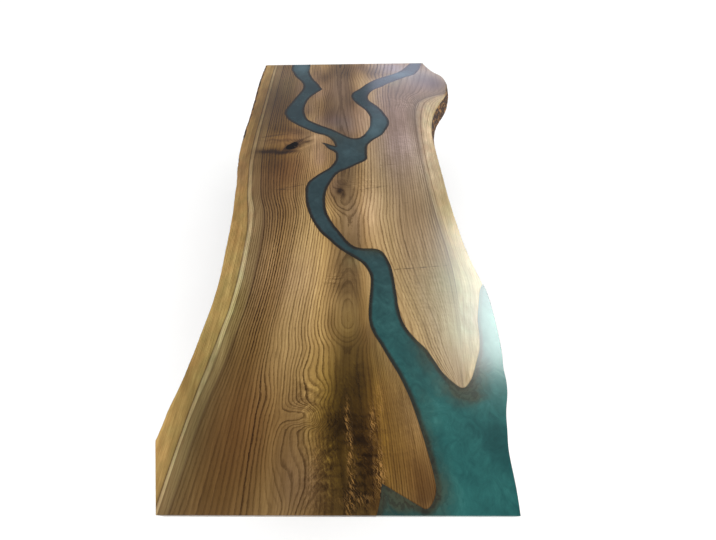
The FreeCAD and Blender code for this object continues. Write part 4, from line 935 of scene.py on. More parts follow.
top_pieces = {}
for piece in PIECES:
    xyz, kind, carry, faces = build(piece)
    p = np.array(xyz, float)
    kind = np.array(kind)
    carry = np.array(carry, float)
    p[:, 0] = np.clip(p[:, 0], cad_lo[0] * 1000, cad_hi[0] * 1000)
    p[:, 1] = np.clip(p[:, 1], cad_lo[1] * 1000, cad_hi[1] * 1000)
    mesh = bpy.data.meshes.new(piece + "_shape")
    mesh.from_pydata((p / 1000.0).tolist(), [], faces)
    mesh.validate(clean_customdata=False)
    mesh.update()
    x, y, z = p.T
    bank = distance(bank_tree, x, y)
    if piece in ("left_slab", "knot_fill"):
        to_knot = distance(knot_tree, x, y)
    else:
        to_knot = np.full(len(x), 99.0)
    edge = np.where(kind == 0, distance(rim_tree, x, y), 0.0)
    if piece == "river_resin":
        halo = spread(HALOS, x, y, add=False)
        milky_and_glare = spread(MILKY_AND_GLARE, x, y)
        vector_attribute(mesh, "place", (bank, edge, halo))
        vector_attribute(mesh, "tone", (milky_and_glare, kind == 1, np.clip((y + 850) / 620, 0, 1)))
    else:
        g, ring = grain(x, y, z, piece)
        figure = spread(FIGURES, x, y, add=False)
        tone = blotted(TONES, x, y) + stroked(STROKES, x, y)
        crotch = spread(CROTCH, x, y, add=False)
        gold = spread(FLECKS, x, y, add=False)
        cross = np.full(len(x), 40.0)
        for x0, y0, x1, y1, s in STREAKS:
            d, past = segment_distance(x, y, x0, y0, x1, y1)
            d = np.abs(d) + past * 0.6 + (1 - s) * 2.0
            cross = np.minimum(cross, d)
        end_face = (kind == 1) & (np.abs(np.abs(y) - 1050) < 6)
        vector_attribute(mesh, "grain", (g / 1000.0, ring, figure))
        vector_attribute(mesh, "place", (np.minimum(bank, to_knot), spread(FADES_AND_GLARE, x, y, add=False),
                                         carry[:, 0]))
        vector_attribute(mesh, "tone", (tone, crotch, gold))
        vector_attribute(mesh, "quiet", (spread(CALM, x, y, add=False), spread(REDS, x, y),
                                         spread(BLUES, x, y)))
        vector_attribute(mesh, "marks", (cross, end_face.astype(float), kind == 1))
    obj = link(bpy.data.objects.new(piece + "_top" if piece != "river_resin" else "river_cast", mesh))
    mesh.shade_smooth()
    mesh.set_sharp_from_angle(angle=math.radians(38))
    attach(obj, "table")
    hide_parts(piece)
    top_pieces[piece] = obj


# ---------------------------------------------------------------- materials
def lin(r, g, b):
    """A colour given as 0-255 on screen, in the linear values that shaders use."""
    return tuple(((c / 255 / 12.92) if c / 255 <= 0.04045 else ((c / 255 + 0.055) / 1.055) ** 2.4)
                 for c in (r, g, b)) + (1.0,)


class Graph:
    def __init__(self, name):
        self.mat = bpy.data.materials.new(name)
        self.mat.use_nodes = True
        self.tree = self.mat.node_tree
        self.tree.nodes.clear()
        self.out = self.tree.nodes.new("ShaderNodeOutputMaterial")
        self.bsdf = self.tree.nodes.new("ShaderNodeBsdfPrincipled")
        self.join(self.bsdf.outputs[0], self.out.inputs["Surface"])
        self.place = self.tree.nodes.new("ShaderNodeTexCoord").outputs["Object"]

    def join(self, a, b):
        self.tree.links.new(a, b)

    def feed(self, socket, value):
        if value is None:
            return
        if isinstance(value, bpy.types.NodeSocket):
            self.join(value, socket)
        else:
            socket.default_value = value

    def math(self, op, a, b=None, c=None, clamp=False):
        n = self.tree.nodes.new("ShaderNodeMath")
        n.operation, n.use_clamp = op, clamp
        for s, v in zip(n.inputs, (a, b, c)):
            self.feed(s, v)
        return n.outputs[0]

    def add(self, a, b):
        return self.math("ADD", a, b)

    def mul(self, a, b):
        return self.math("MULTIPLY", a, b)

    def step(self, v, lo, hi, to_lo=0.0, to_hi=1.0):
        n = self.tree.nodes.new("ShaderNodeMapRange")
        n.interpolation_type = "SMOOTHSTEP"
        for s, x in zip(n.inputs, (v, lo, hi, to_lo, to_hi)):
            self.feed(s, x)
        return n.outputs[0]

    def attr(self, name):
        n = self.tree.nodes.new("ShaderNodeAttribute")
        n.attribute_name = name
        s = self.tree.nodes.new("ShaderNodeSeparateXYZ")
        self.join(n.outputs["Vector"], s.inputs[0])
        return s.outputs

    def split(self, v):
        s = self.tree.nodes.new("ShaderNodeSeparateXYZ")
        self.join(v, s.inputs[0])
        return s.outputs

    def vec(self, x, y, z):
        n = self.tree.nodes.new("ShaderNodeCombineXYZ")
        for s, v in zip(n.inputs, (x, y, z)):
            self.feed(s, v)
        return n.outputs[0]

    def scaled(self, v, x, y, z):
        n = self.tree.nodes.new("ShaderNodeVectorMath")
        n.operation = "MULTIPLY"
        self.feed(n.inputs[0], v)
        n.inputs[1].default_value = (x, y, z)
        return n.outputs[0]

    def noise(self, v, scale=1.0, detail=2.0, rough=0.5, twist=0.0):
        n = self.tree.nodes.new("ShaderNodeTexNoise")
        self.feed(n.inputs["Vector"], v)
        for key, x in (("Scale", scale), ("Detail", detail), ("Roughness", rough),
                       ("Distortion", twist)):
            n.inputs[key].default_value = x
        return n.outputs[0]

    def cells(self, v, scale, feature="F1"):
        n = self.tree.nodes.new("ShaderNodeTexVoronoi")
        n.feature = feature
        self.feed(n.inputs["Vector"], v)
        n.inputs["Scale"].default_value = scale
        return n.outputs["Distance"]

    def random(self, w):
        n = self.tree.nodes.new("ShaderNodeTexWhiteNoise")
        n.noise_dimensions = "1D"
        self.feed(n.inputs["W"], w)
        return n.outputs["Value"]

    def ramp(self, v, stops, smooth=False):
        n = self.tree.nodes.new("ShaderNodeValToRGB")
        n.color_ramp.interpolation = "EASE" if smooth else "LINEAR"
        e = n.color_ramp.elements
        while len(e) < len(stops):
            e.new(0.5)
        for el, (at, colour) in zip(e, stops):
            el.position = at
        for el, (at, colour) in zip(e, stops):
            el.position, el.color = at, colour
        self.feed(n.inputs[0], v)
        return n.outputs[0]

    def blend(self, fac, a, b, mode="MIX"):
        n = self.tree.nodes.new("ShaderNodeMix")
        n.data_type, n.blend_type = "RGBA", mode
        self.feed(n.inputs["Factor"], fac)
        self.feed(n.inputs[6], a)
        self.feed(n.inputs[7], b)
        return n.outputs[2]

    def gain(self, colour, value):
        """colour times a plain number."""
        n = self.tree.nodes.new("ShaderNodeVectorMath")
        n.operation = "SCALE"
        self.feed(n.inputs[0], colour)
        self.feed(n.inputs["Scale"], value)
        return n.outputs[0]

    def bump(self, height, strength, distance, normal=None):
        n = self.tree.nodes.new("ShaderNodeBump")
        n.inputs["Strength"].default_value = strength
        n.inputs["Distance"].default_value = distance
        self.feed(n.inputs["Height"], height)
        if normal is not None:
            self.join(normal, n.inputs["Normal"])
        return n.outputs[0]

    def surface(self, colour, rough, normal=None, **fixed):
        self.feed(self.bsdf.inputs["Base Color"], colour)
        self.feed(self.bsdf.inputs["Roughness"], rough)
        if normal is not None:
            self.join(normal, self.bsdf.inputs["Normal"])
        for key, x in fixed.items():
            self.bsdf.inputs[key.replace("_", " ")].default_value = x
        return self.mat


# colour across the grain, from the left live edge to the right one: (mm from the heart, colour)
ACROSS = [
    (-480, (200, 161, 98)), (-405, (168, 134, 80)), (-401, (98, 72, 42)),
    (-397, (178, 152, 112)), (-387, (174, 148, 108)), (-383, (100, 76, 48)), (-379, (138, 110, 74)),
    (-352, (134, 107, 72)), (-348, (92, 65, 41)), (-344, (120, 91, 58)),
    (-250, (134, 101, 60)), (-200, (150, 117, 74)), (-160, (176, 143, 94)), (-110, (186, 151, 99)),
    (-80, (180, 144, 90)), (-52, (150, 117, 72)), (-16, (120, 93, 59)),
    (30, (118, 91, 58)), (55, (160, 125, 78)), (80, (186, 151, 102)), (130, (178, 147, 102)),
    (180, (165, 135, 98)), (260, (160, 131, 96)), (310, (150, 125, 92)), (325, (126, 102, 74)),
    (329, (190, 168, 128)), (332, (136, 110, 78)), (337, (194, 170, 126)), (341, (146, 118, 82)),
    (347, (192, 166, 120)), (400, (200, 176, 128))]


def wood():
    m = Graph("walnut")
    g, ring, figure = m.attr("grain")
    bank, fade_and_glare, bark_w = m.attr("place")
    tone, crotch, gold = m.attr("tone")
    cross, end_face, side = m.attr("marks")
    quiet, redder, bluer = m.attr("quiet")
    at = m.place
    x, y, z = m.split(at)

    # rings: a dark line at the end of each year's growth, uneven in weight and a little jagged
    sway = m.noise(m.scaled(at, 9, 1.6, 9), detail=3, rough=0.5)
    jag = m.noise(m.scaled(at, 120, 34, 120), detail=2, rough=0.6)
    nick = m.noise(m.scaled(at, 210, 95, 210), detail=1)
    r = m.add(m.add(ring, m.mul(m.add(sway, -0.5), 1.2)), m.mul(m.add(jag, -0.5), 0.34))
    r = m.add(r, m.mul(m.add(nick, -0.5), 0.24))
    year = m.math("FLOOR", r)
    part = m.math("FRACT", r)
    late = m.mul(m.step(part, 0.44, 0.86), m.step(part, 0.93, 1.0, 1.0, 0.0))
    weight = m.step(m.random(year), 0.0, 1.0, 0.5, 1.3)
    fade = m.noise(m.scaled(at, 14, 2.5, 14), detail=1)
    late = m.mul(late, m.mul(weight, m.step(fade, 0.25, 0.75, 0.55, 1.25)))
    late = m.mul(late, m.add(1.0, m.mul(quiet, -1.0)))
    bead = m.noise(m.scaled(at, 400, 190, 400), detail=1)
    late = m.mul(late, m.step(bead, 0.30, 0.70, 0.74, 1.18))
    lift = m.mul(m.add(m.random(m.add(year, 0.37)), -0.5), 0.16)
    broad = m.mul(m.add(m.noise(m.vec(m.mul(ring, 0.31), m.mul(y, 0.7), 0.0), detail=2), -0.5), 0.8)

    # colour by the place across the grain, with the band edges a little uneven
    drift = m.noise(m.scaled(at, 22, 2.2, 22), detail=3, rough=0.6)
    ga = m.add(g, m.mul(m.add(drift, -0.5), 0.005))
    rng = m.tree.nodes.new("ShaderNodeMapRange")
    m.feed(rng.inputs[0], ga)
    rng.inputs[1].default_value, rng.inputs[2].default_value = -0.48, 0.40
    base = m.ramp(rng.outputs[0], [((k + 480) / 880, lin(*c)) for k, c in ACROSS])
    # pale where the bands fade, partly a painted glare on the right of the near end and at the far right
    base = m.blend(fade_and_glare, base, lin(188, 164, 126))

    # fibres, pores and the odd dark mineral streak, all drawn out along the grain
    fibre = m.noise(m.scaled(at, 620, 17, 620), detail=2, rough=0.6)
    coarse = m.noise(m.scaled(at, 190, 5, 190), detail=2, rough=0.55)
    pore = m.noise(m.scaled(at, 1150, 75, 1150), detail=1)
    pore = m.mul(m.step(pore, 0.60, 0.70), m.step(part, 0.0, 0.55, 1.0, 0.35))
    mineral = m.step(m.noise(m.scaled(at, 60, 1.3, 60), detail=3, rough=0.5), 0.62, 0.76)

    # stops of light and dark
    s = m.add(m.add(tone, -0.20), m.add(lift, broad))
    pale = m.add(m.step(g, -0.385, -0.365, 1.0, 0.0), m.step(g, 0.322, 0.336))
    strong = m.step(y, -0.22, 0.10, m.step(y, -0.86, -0.50, -1.0, -3.1), -1.9)
    bold = m.mul(m.step(g, -0.36, -0.30, 0.55, 1.0),
                 m.step(g, -0.22, -0.02, m.step(g, -0.24, -0.18, strong, -2.3), -1.3))
    s = m.add(s, m.mul(late, m.add(bold, m.mul(pale, 0.7))))
    s = m.add(s, m.mul(m.add(fibre, -0.5), 0.7))
    mottle = m.noise(m.scaled(at, 55, 16, 55), detail=4, rough=0.62)
    s = m.add(s, m.mul(m.mul(m.add(mottle, -0.5), m.add(0.42, m.mul(pale, 1.0))), 0.9))
    amber = m.mul(m.mul(m.add(m.noise(m.scaled(at, 34, 20, 34), detail=3, rough=0.6), -0.5), pale), 0.5)
    s = m.add(s, m.mul(m.add(coarse, -0.5), 1.0))
    s = m.add(s, m.mul(pore, -0.38))
    s = m.add(s, m.mul(mineral, -0.28))
    ripple = m.noise(m.vec(m.mul(x, 16), m.add(m.mul(y, 105), m.mul(sway, 6.0)), 0.0), detail=2)
    s = m.add(s, m.mul(m.mul(m.add(ripple, -0.5), figure), 1.6))
    # the crotch: short strokes that run down to the right, with dark cracks across
    flame = m.noise(m.scaled(at, 30, 40, 30), detail=4, rough=0.6, twist=1.2)
    thwart = m.add(m.mul(x, 0.88), m.mul(y, 0.47))
    down = m.add(m.mul(x, -0.47), m.mul(y, 0.88))
    bend = m.add(m.mul(flame, 0.020), 0.0)
    stroke = m.noise(m.vec(m.mul(m.add(thwart, bend), 250), m.mul(down, 44), 0.0), detail=3,
                     rough=0.62)
    s = m.add(s, m.mul(m.mul(m.add(stroke, -0.5), crotch), 5.2))
    s = m.add(s, m.mul(m.mul(m.add(flame, -0.5), crotch), 2.2))
    rung = m.noise(m.vec(m.mul(x, 12), m.add(m.mul(y, 62), m.mul(flame, 2.4)), 0.0), detail=2)
    s = m.add(s, m.mul(m.mul(m.step(rung, 0.54, 0.68), m.mul(crotch, m.step(x, 0.010, 0.030))), -1.5))
    # feather: curls that slope down and away from the heart on both sides
    away = m.math("ABSOLUTE", m.add(g, m.mul(m.add(flame, -0.5), 0.03)))
    slope = m.add(m.mul(y, 92), m.mul(away, 96))
    curl = m.noise(m.vec(m.add(slope, m.mul(sway, 9.0)), m.mul(x, 14), 0.0), scale=1.5, detail=3,
                   rough=0.6, twist=0.5)
    s = m.add(s, m.mul(m.mul(m.add(curl, -0.5), m.add(m.mul(crotch, 0.4), m.mul(figure, 0.7))), 3.6))
    # painted shade: a thin dark line on the top of the wood along the banks and round the knot
    stain_and_shade = m.step(bank, 0.3, 3.2, 1.0, 0.0)
    s = m.add(s, m.mul(m.mul(stain_and_shade, m.math("SUBTRACT", 1.0, side)), -0.7))
    # darker wood is also warmer, so blue falls faster than red
    dim = m.vec(*[m.math("POWER", 2.0, m.add(m.mul(s, k), shift))
                  for k, shift in ((0.94, m.add(m.add(redder, amber), -0.05)), (1.06, 0.0),
                                   (1.24, bluer))])
    tinted = m.tree.nodes.new("ShaderNodeVectorMath")
    tinted.operation = "MULTIPLY"
    m.feed(tinted.inputs[0], base)
    m.feed(tinted.inputs[1], dim)
    colour = tinted.outputs[0]
    hatch = m.noise(m.vec(m.mul(m.add(thwart, bend), 360), m.mul(down, 44), 3.0), detail=3,
                    rough=0.6)
    speck = m.mul(gold, m.step(hatch, 0.49, 0.60))
    colour = m.blend(m.mul(speck, 0.75), colour, lin(172, 126, 62))

    # thin dark lines across the grain
    wobble = m.mul(m.add(m.noise(m.scaled(at, 60, 60, 60), detail=3), -0.5), 5.0)
    line = m.step(m.add(cross, wobble), 0.2, 3.4, 1.0, 0.0)
    colour = m.blend(m.mul(line, 0.75), colour, lin(58, 40, 24))

    # the cut ends show the rings as arcs, darker, with pores as dots
    dots = m.step(m.noise(at, scale=900, detail=1), 0.58, 0.68)
    end = m.gain(colour, m.add(0.62, m.mul(dots, -0.22)))
    colour = m.blend(end_face, colour, end)

    # live edge and bark
    skin = m.noise(m.scaled(at, 75, 11, 120), detail=5, rough=0.62)
    fleck = m.noise(m.scaled(at, 300, 60, 420), detail=3, rough=0.6)
    live = m.ramp(m.add(m.mul(skin, 0.75), m.mul(fleck, 0.25)),
                  [(0.32, lin(78, 52, 30)), (0.45, lin(122, 86, 50)), (0.56, lin(156, 118, 70)),
                   (0.70, lin(184, 148, 96))])
    is_live = m.mul(m.mul(side, m.math("SUBTRACT", 1.0, end_face)),
                    m.step(z, 0.7535, 0.7595, 0.9, 0.0))
    colour = m.blend(is_live, colour, live)
    torn = m.noise(m.scaled(at, 60, 26, 60), detail=3, rough=0.6)
    torn_at = m.vec(m.add(m.mul(x, 62), m.mul(torn, 2.2)), m.add(m.mul(y, 24), m.mul(torn, 1.6)),
                    m.add(m.mul(z, 74), m.mul(torn, 2.2)))
    fissure = m.step(m.cells(torn_at, 1.0, "DISTANCE_TO_EDGE"), 0.02, 0.26)
    crust = m.noise(m.scaled(at, 190, 85, 240), detail=6, rough=0.7)
    plate = m.math("MULTIPLY", fissure, m.add(0.45, m.mul(crust, 1.1)))
    bark_c = m.ramp(plate, [(0.06, lin(50, 30, 14)), (0.40, lin(86, 53, 24)),
                            (0.75, lin(122, 80, 37)), (1.0, lin(150, 108, 56))])
    bark_f = m.step(m.add(bark_w, m.mul(m.add(skin, -0.5), 0.5)), 0.22, 0.5)
    colour = m.blend(bark_f, colour, bark_c)

    top_rough = m.add(0.225, m.mul(m.add(coarse, -0.5), 0.08))
    rough = m.add(top_rough, m.mul(side, 0.16))
    rough = m.add(rough, m.mul(m.step(z, 0.730, 0.716), 0.22))
    rough = m.add(rough, m.mul(bark_f, 0.42))
    h = m.add(m.mul(late, 0.25), m.add(m.mul(fibre, 0.5), m.mul(pore, -0.6)))
    n = m.bump(h, 0.10, 0.0004)
    n = m.bump(m.mul(m.add(skin, m.mul(fleck, 0.3)), is_live), 0.35, 0.004, n)
    n = m.bump(m.mul(plate, bark_f), 0.85, 0.007, n)
    return m.surface(colour, rough, n, Specular_IOR_Level=0.5, IOR=1.5)


def resin():
    m = Graph("river_resin")
    bank, edge, halo = m.attr("place")
    milky_and_glare, side, slate = m.attr("tone")
    at = m.place
    cloud = m.noise(m.scaled(at, 5.5, 4.5, 9), detail=6, rough=0.62, twist=1.1)
    wisp = m.noise(m.scaled(at, 24, 20, 30), detail=6, rough=0.66, twist=1.8)
    grain_ = m.noise(at, scale=420, detail=2)
    # milky clouds, and on the right of the near end and at the far end a painted glare that takes the resin to its
    # palest mint stops
    v = m.add(m.add(m.mul(cloud, m.step(milky_and_glare, 0.4, 1.6, 0.36, 0.18)), m.mul(wisp, m.step(milky_and_glare, 0.4, 1.6, 0.34, 0.08))), m.add(m.step(milky_and_glare, 0.4, 1.6, 0.13, 0.34), m.mul(milky_and_glare, 0.12)))
    near = m.ramp(v, [(0.28, lin(16, 60, 60)), (0.42, lin(23, 76, 75)), (0.52, lin(32, 92, 89)),
                      (0.62, lin(47, 109, 104)), (0.74, lin(92, 152, 141)),
                      (0.88, lin(132, 210, 180))])
    away = m.ramp(v, [(0.28, lin(26, 42, 46)), (0.42, lin(35, 52, 56)), (0.52, lin(44, 62, 66)),
                      (0.62, lin(54, 75, 80)), (0.78, lin(80, 104, 112))])
    colour = m.blend(slate, near, away)
    colour = m.gain(colour, m.add(0.93, m.mul(grain_, 0.14)))
    # the bank of wood shows through the resin that thins out over it, darkened into a band of painted shade along the
    # bank
    ragged = m.mul(m.add(m.noise(m.scaled(at, 42, 42, 42), detail=4, rough=0.6), -0.5), 7.0)
    d = m.add(bank, ragged)
    shelf_shade = m.step(d, 5.5, m.step(slate, 0.0, 0.4, 19.0, 15.0), 1.0, 0.0)
    shelf_shade = m.mul(shelf_shade, m.step(milky_and_glare, 0.6, 1.4, 1.0, 0.3))
    colour = m.blend(m.mul(shelf_shade, 0.9), colour, lin(34, 27, 21))
    smoke = m.noise(m.scaled(at, 15, 15, 15), detail=5, rough=0.66, twist=1.4)
    reach = m.add(bank, m.mul(m.add(smoke, -0.5), 64.0))
    wide = m.mul(halo, m.step(reach, 4.0, 74.0, 1.0, 0.0))
    arcs = m.math("SINE", m.add(m.mul(reach, 0.30), m.mul(wisp, 22.0)))
    brown = m.blend(m.step(arcs, -1.0, 1.0), lin(50, 48, 36), lin(62, 66, 50))
    colour = m.blend(m.math("MINIMUM", m.mul(wide, 0.75), 0.86), colour, brown)
    colour = m.gain(colour, m.add(1.0, m.mul(side, -0.12)))
    rough = m.add(m.add(0.19, m.mul(m.add(cloud, -0.5), 0.05)), m.mul(side, 0.05))
    n = m.bump(m.noise(at, scale=34, detail=2), 0.05, 0.001)
    return m.surface(colour, rough, n, Specular_IOR_Level=0.5, IOR=1.52)


def dark_resin():
    m = Graph("knot_resin")
    at = m.place
    x, y, z = m.split(at)
    cloud = m.noise(m.vec(m.add(m.mul(x, 70), m.mul(y, -60)), m.add(m.mul(x, 60), m.mul(y, 150)), 0.0),
                    detail=5, rough=0.62, twist=0.8)
    paler = m.step(m.add(x, m.mul(cloud, 0.05)), -0.222, -0.196, 0.0, 0.2)
    colour = m.ramp(m.add(cloud, paler), [(0.38, lin(6, 4, 3)), (0.56, lin(11, 7, 5)),
                                          (0.66, lin(30, 20, 12)), (0.84, lin(84, 60, 38))])
    rough = m.add(0.17, m.mul(cloud, 0.06))
    n = m.bump(m.noise(at, scale=90, detail=2), 0.08, 0.001)
    return m.surface(colour, rough, n, Specular_IOR_Level=0.22, IOR=1.52)


def powder_coat(name, shade, rough0):
    m = Graph(name)
    at = m.place
    peel = m.noise(at, scale=1300, detail=2, rough=0.5)
    soft = m.noise(at, scale=260, detail=2, rough=0.5)
    dust = m.noise(m.scaled(at, 4, 4, 6), detail=3, rough=0.5)
    v = m.add(m.add(m.mul(peel, 0.45), m.mul(soft, 0.25)), m.mul(dust, 0.3))
    colour = m.ramp(v, [(0.30, lin(*[c - 6 for c in shade])), (0.50, lin(*shade)),
                        (0.72, lin(*[c + 7 for c in shade]))])
    rough = m.add(rough0, m.mul(m.add(soft, -0.5), 0.10))
    n = m.bump(m.add(m.mul(peel, 0.6), m.mul(soft, 0.4)), 0.30, 0.0006)
    return m.surface(colour, rough, n, Specular_IOR_Level=0.5)


def zinc():
    m = Graph("fastener_steel")
    at = m.place
    lay = m.noise(m.scaled(at, 260, 260, 1300), detail=3, rough=0.6)
    stain_and_shade = m.noise(at, scale=60, detail=4, rough=0.6)
    colour = m.ramp(m.add(m.mul(lay, 0.5), m.mul(stain_and_shade, 0.5)),
                    [(0.32, lin(148, 150, 152)), (0.52, lin(182, 184, 186)), (0.70, lin(205, 204, 198))])
    rough = m.add(0.26, m.mul(lay, 0.18))
    n = m.bump(lay, 0.12, 0.0003)
    return m.surface(colour, rough, n, Metallic=1.0)


def brass():
    m = Graph("insert_brass")
    at = m.place
    lay = m.noise(m.scaled(at, 300, 300, 1500), detail=3, rough=0.6)
    stain_and_shade = m.noise(at, scale=90, detail=4, rough=0.6)
    colour = m.ramp(m.add(m.mul(lay, 0.5), m.mul(stain_and_shade, 0.5)),
                    [(0.32, lin(150, 116, 62)), (0.52, lin(196, 158, 88)), (0.70, lin(218, 186, 118))])
    rough = m.add(0.24, m.mul(lay, 0.2))
    n = m.bump(lay, 0.12, 0.0003)
    return m.surface(colour, rough, n, Metallic=1.0)


def nylon():
    m = Graph("pad_nylon")
    at = m.place
    spark = m.noise(at, scale=1900, detail=2)
    scuff = m.noise(m.scaled(at, 70, 160, 70), detail=5, rough=0.65)
    colour = m.ramp(m.add(m.mul(spark, 0.4), m.mul(scuff, 0.6)),
                    [(0.35, lin(34, 34, 35)), (0.55, lin(46, 46, 47)), (0.72, lin(64, 63, 61))])
    rough = m.add(0.48, m.mul(scuff, 0.2))
    n = m.bump(spark, 0.3, 0.0004)
    return m.surface(colour, rough, n, Specular_IOR_Level=0.45)


finish = {"walnut": wood(), "river_resin": resin(), "knot_resin": dark_resin(),
          "frame_steel": powder_coat("frame_steel", (34, 34, 36), 0.46),
          "channel_steel": powder_coat("channel_steel", (38, 38, 40), 0.52),
          "fastener_steel": zinc(), "insert_brass": brass(), "pad_nylon": nylon()}


def dress(obj, slot_name):
    obj.data.materials.clear()
    obj.data.materials.append(finish[slot_name])


for piece, obj in top_pieces.items():
    dress(obj, {"river_resin": "river_resin", "knot_fill": "knot_resin"}.get(piece, "walnut"))


# ---------------------------------------------------------------- steel, fasteners and feet
slot_of = {row["node"]: row["material_slot"] for row in frame["record"]["subparts"]}


class Shape:
    """Collects closed shells, in millimetres, and makes one piece of them."""

    def __init__(self):
        self.v, self.f = [], []

    def turned(self, x, y, rows, around=48, turn=0.0):
        """A body turned about a vertical line: rows are (z, radius), a radius may be a
        function of the angle and z. Both ends are closed."""
        base = len(self.v)
        angles = [2 * math.pi * i / around + turn for i in range(around)]
        for z, r in rows:
            for a in angles:
                rr = r(a, z) if callable(r) else r
                self.v.append((x + rr * math.cos(a), y + rr * math.sin(a), z))
        for j in range(len(rows) - 1):
            for i in range(around):
                a, b = base + j * around + i, base + j * around + (i + 1) % around
                self.f.append((a, b, b + around, a + around))
        for j, flip in ((0, True), (len(rows) - 1, False)):
            ring = [base + j * around + i for i in range(around)]
            self.v.append((x, y, rows[j][0]))
            hub = len(self.v) - 1
            for a, b in zip(ring, ring[1:] + ring[:1]):
                self.f.append((b, a, hub) if flip else (a, b, hub))

    def swept(self, start, end, across, up, section, step, ripple=0.0, seed=0.0):
        """A bead from start to end; section is points (across, up) from root to root."""
        base, p, q = len(self.v), Vector(start), Vector(end)
        n = max(2, int((q - p).length / step))
        ax, az = Vector(across), Vector(up)
        for k in range(n + 1):
            c = p.lerp(q, k / n)
            wave = 1 + ripple * (math.sin(k * step * 2 * math.pi / 2.6)
                                 + 0.8 * noise.noise((k * step * 0.31, seed, 0.0)))
            end_fade = min(1.0, (k + 0.6) / 3, (n - k + 0.6) / 3)
            for s, t in section:
                self.v.append(tuple(c + ax * s * wave * end_fade + az * t * wave * end_fade))
        m = len(section)
        for k in range(n):
            for i in range(m):
                a, b = base + k * m + i, base + k * m + (i + 1) % m
                self.f.append((a, b, b + m, a + m))
        self.f.append(tuple(base + i for i in range(m))[::-1])
        self.f.append(tuple(base + n * m + i for i in range(m)))

    def piece(self, name, body, slot_name, stands_for=(), angle=35):
        mesh = bpy.data.meshes.new(name + "_shape")
        mesh.from_pydata([(a / 1000, b / 1000, c / 1000) for a, b, c in self.v], [], self.f)
        mesh.validate()
        mesh.update()
        bm = bmesh.new()
        bm.from_mesh(mesh)
        bmesh.ops.recalc_face_normals(bm, faces=bm.faces)
        bm.to_mesh(mesh)
        bm.free()
        mesh.shade_smooth()
        mesh.set_sharp_from_angle(angle=math.radians(angle))
        obj = link(bpy.data.objects.new(name, mesh))
        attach(obj, body)
        if stands_for:
            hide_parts(*stands_for)
        dress(obj, slot_name)
        return obj


def hexagon(flats, chamfer=None):
    """Radius of a hexagon across flats; chamfer is (z of the end, direction, radius there)."""
    def r(a, z):
        turn = (a + math.pi / 6) % (math.pi / 3) - math.pi / 6
        out = flats / 2 / math.cos(turn)
        for z0, way, r0 in chamfer or ():
            out = min(out, r0 + max(0.0, (z - z0) * way) * 1.73)
        return out
    return r


def threaded(major, depth, pitch, fade_lo=None, fade_hi=None):
    def r(a, z):
        s = (z / pitch - a / (2 * math.pi)) % 1.0
        ridge = 1 - abs(2 * s - 1)
        ridge = min(1.0, max(0.0, (ridge - 0.12) / 0.74))
        out = major - depth * (1 - ridge)
        if fade_lo is not None:
            out = min(out, major - depth + max(0.0, z - fade_lo) * 0.8)
        if fade_hi is not None:
            out = min(out, major - depth * 0.9 + max(0.0, fade_hi - z))
        return out
    return r


def levels(lo, hi, step):
    n = max(1, int(round((hi - lo) / step)))
    return [lo + (hi - lo) * k / n for k in range(n + 1)]


# studs: flange, neck, hex collar with chamfers, rolled M10 thread
for word, sy in (("front", -1), ("rear", 1)):
    for hand, sx in (("left", -1), ("right", 1)):
        s = Shape()
        x, y = 300.0 * sx, 620.0 * sy
        s.turned(x, y, [(4.0, 5.4), (4.3, 5.9), (4.6, 6.0), (8.1, 6.0), (8.4, 5.8), (8.5, 4.3),
                        (8.7, 4.0), (12.4, 4.0), (12.55, 4.3)], 40)
        collar = hexagon(16.0, ((12.5, 1, 7.5), (20.0, -1, 7.5)))
        s.turned(x, y, [(z, collar) for z in (12.5, 12.8, 13.1, 13.5, 14.2, 16.2, 18.3, 19.0,
                                              19.4, 19.7, 20.0)], 72)
        s.turned(x, y, [(z, threaded(5.0, 0.78, 1.5, 20.6, 57.0)) for z in levels(19.9, 57.0, 0.25)], 36)
        s.piece("stud_%s_%s" % (word, hand), "foot_stud_%s_%s" % (word, hand), "fastener_steel",
                ("foot_stud_%s_%s" % (word, hand),), 30)

# hex bolts of the leg frames: washer face, chamfered head, thread
for word, sy in (("front", -1), ("rear", 1)):
    s = Shape()
    for bx in (-345, -40, 40, 345):
        for by in (-60, 60):
            x, y = float(bx), 620.0 * sy + by
            turn = (bx * 7 + by) % 60 * math.pi / 180
            head = hexagon(13.0, ((701.7, 1, 5.6),))
            s.turned(x, y, [(701.7, 4.6), (701.72, head), (702.0, head), (702.3, head),
                            (702.7, head), (703.3, head), (705.0, head), (706.6, head),
                            (706.62, 6.1), (707.0, 6.1), (707.0, 3.9)], 72)
            s.turned(x, y, [(z, threaded(4.0, 0.6, 1.25, None, 737.0))
                            for z in levels(706.9, 737.0, 0.32)], 24)
    s.piece(word + "_hex_bolts", "table", "fastener_steel", (word + "_plate_bolts",), 30)

# button heads of the channels: dome, hex socket, thread
for word, yc in (("front", -860.0), ("middle", 0.0), ("rear", 860.0)):
    s = Shape()
    for x in (-300.0, -130.0, 130.0, 300.0):
        dome = []
        for k in range(9):
            t = k / 8 * math.pi / 2
            dome.append((713.8 - 1.8 * math.cos(t), 2.9 + 2.35 * math.sin(t)))
        socket = hexagon(4.0)
        rows_ = ([(713.8, socket), (712.15, socket), (712.0, 2.75)] + dome
                 + [(714.8, 5.25), (715.0, 5.1), (715.0, 3.0)])
        s.turned(x, yc, rows_, 48)
        s.turned(x, yc, [(z, threaded(3.0, 0.45, 1.0, None, 731.0))
                         for z in levels(714.9, 731.0, 0.3)], 24)
    s.piece(word + "_button_screws", "table", "fastener_steel", ("stiffener_screws_" + word,), 30)

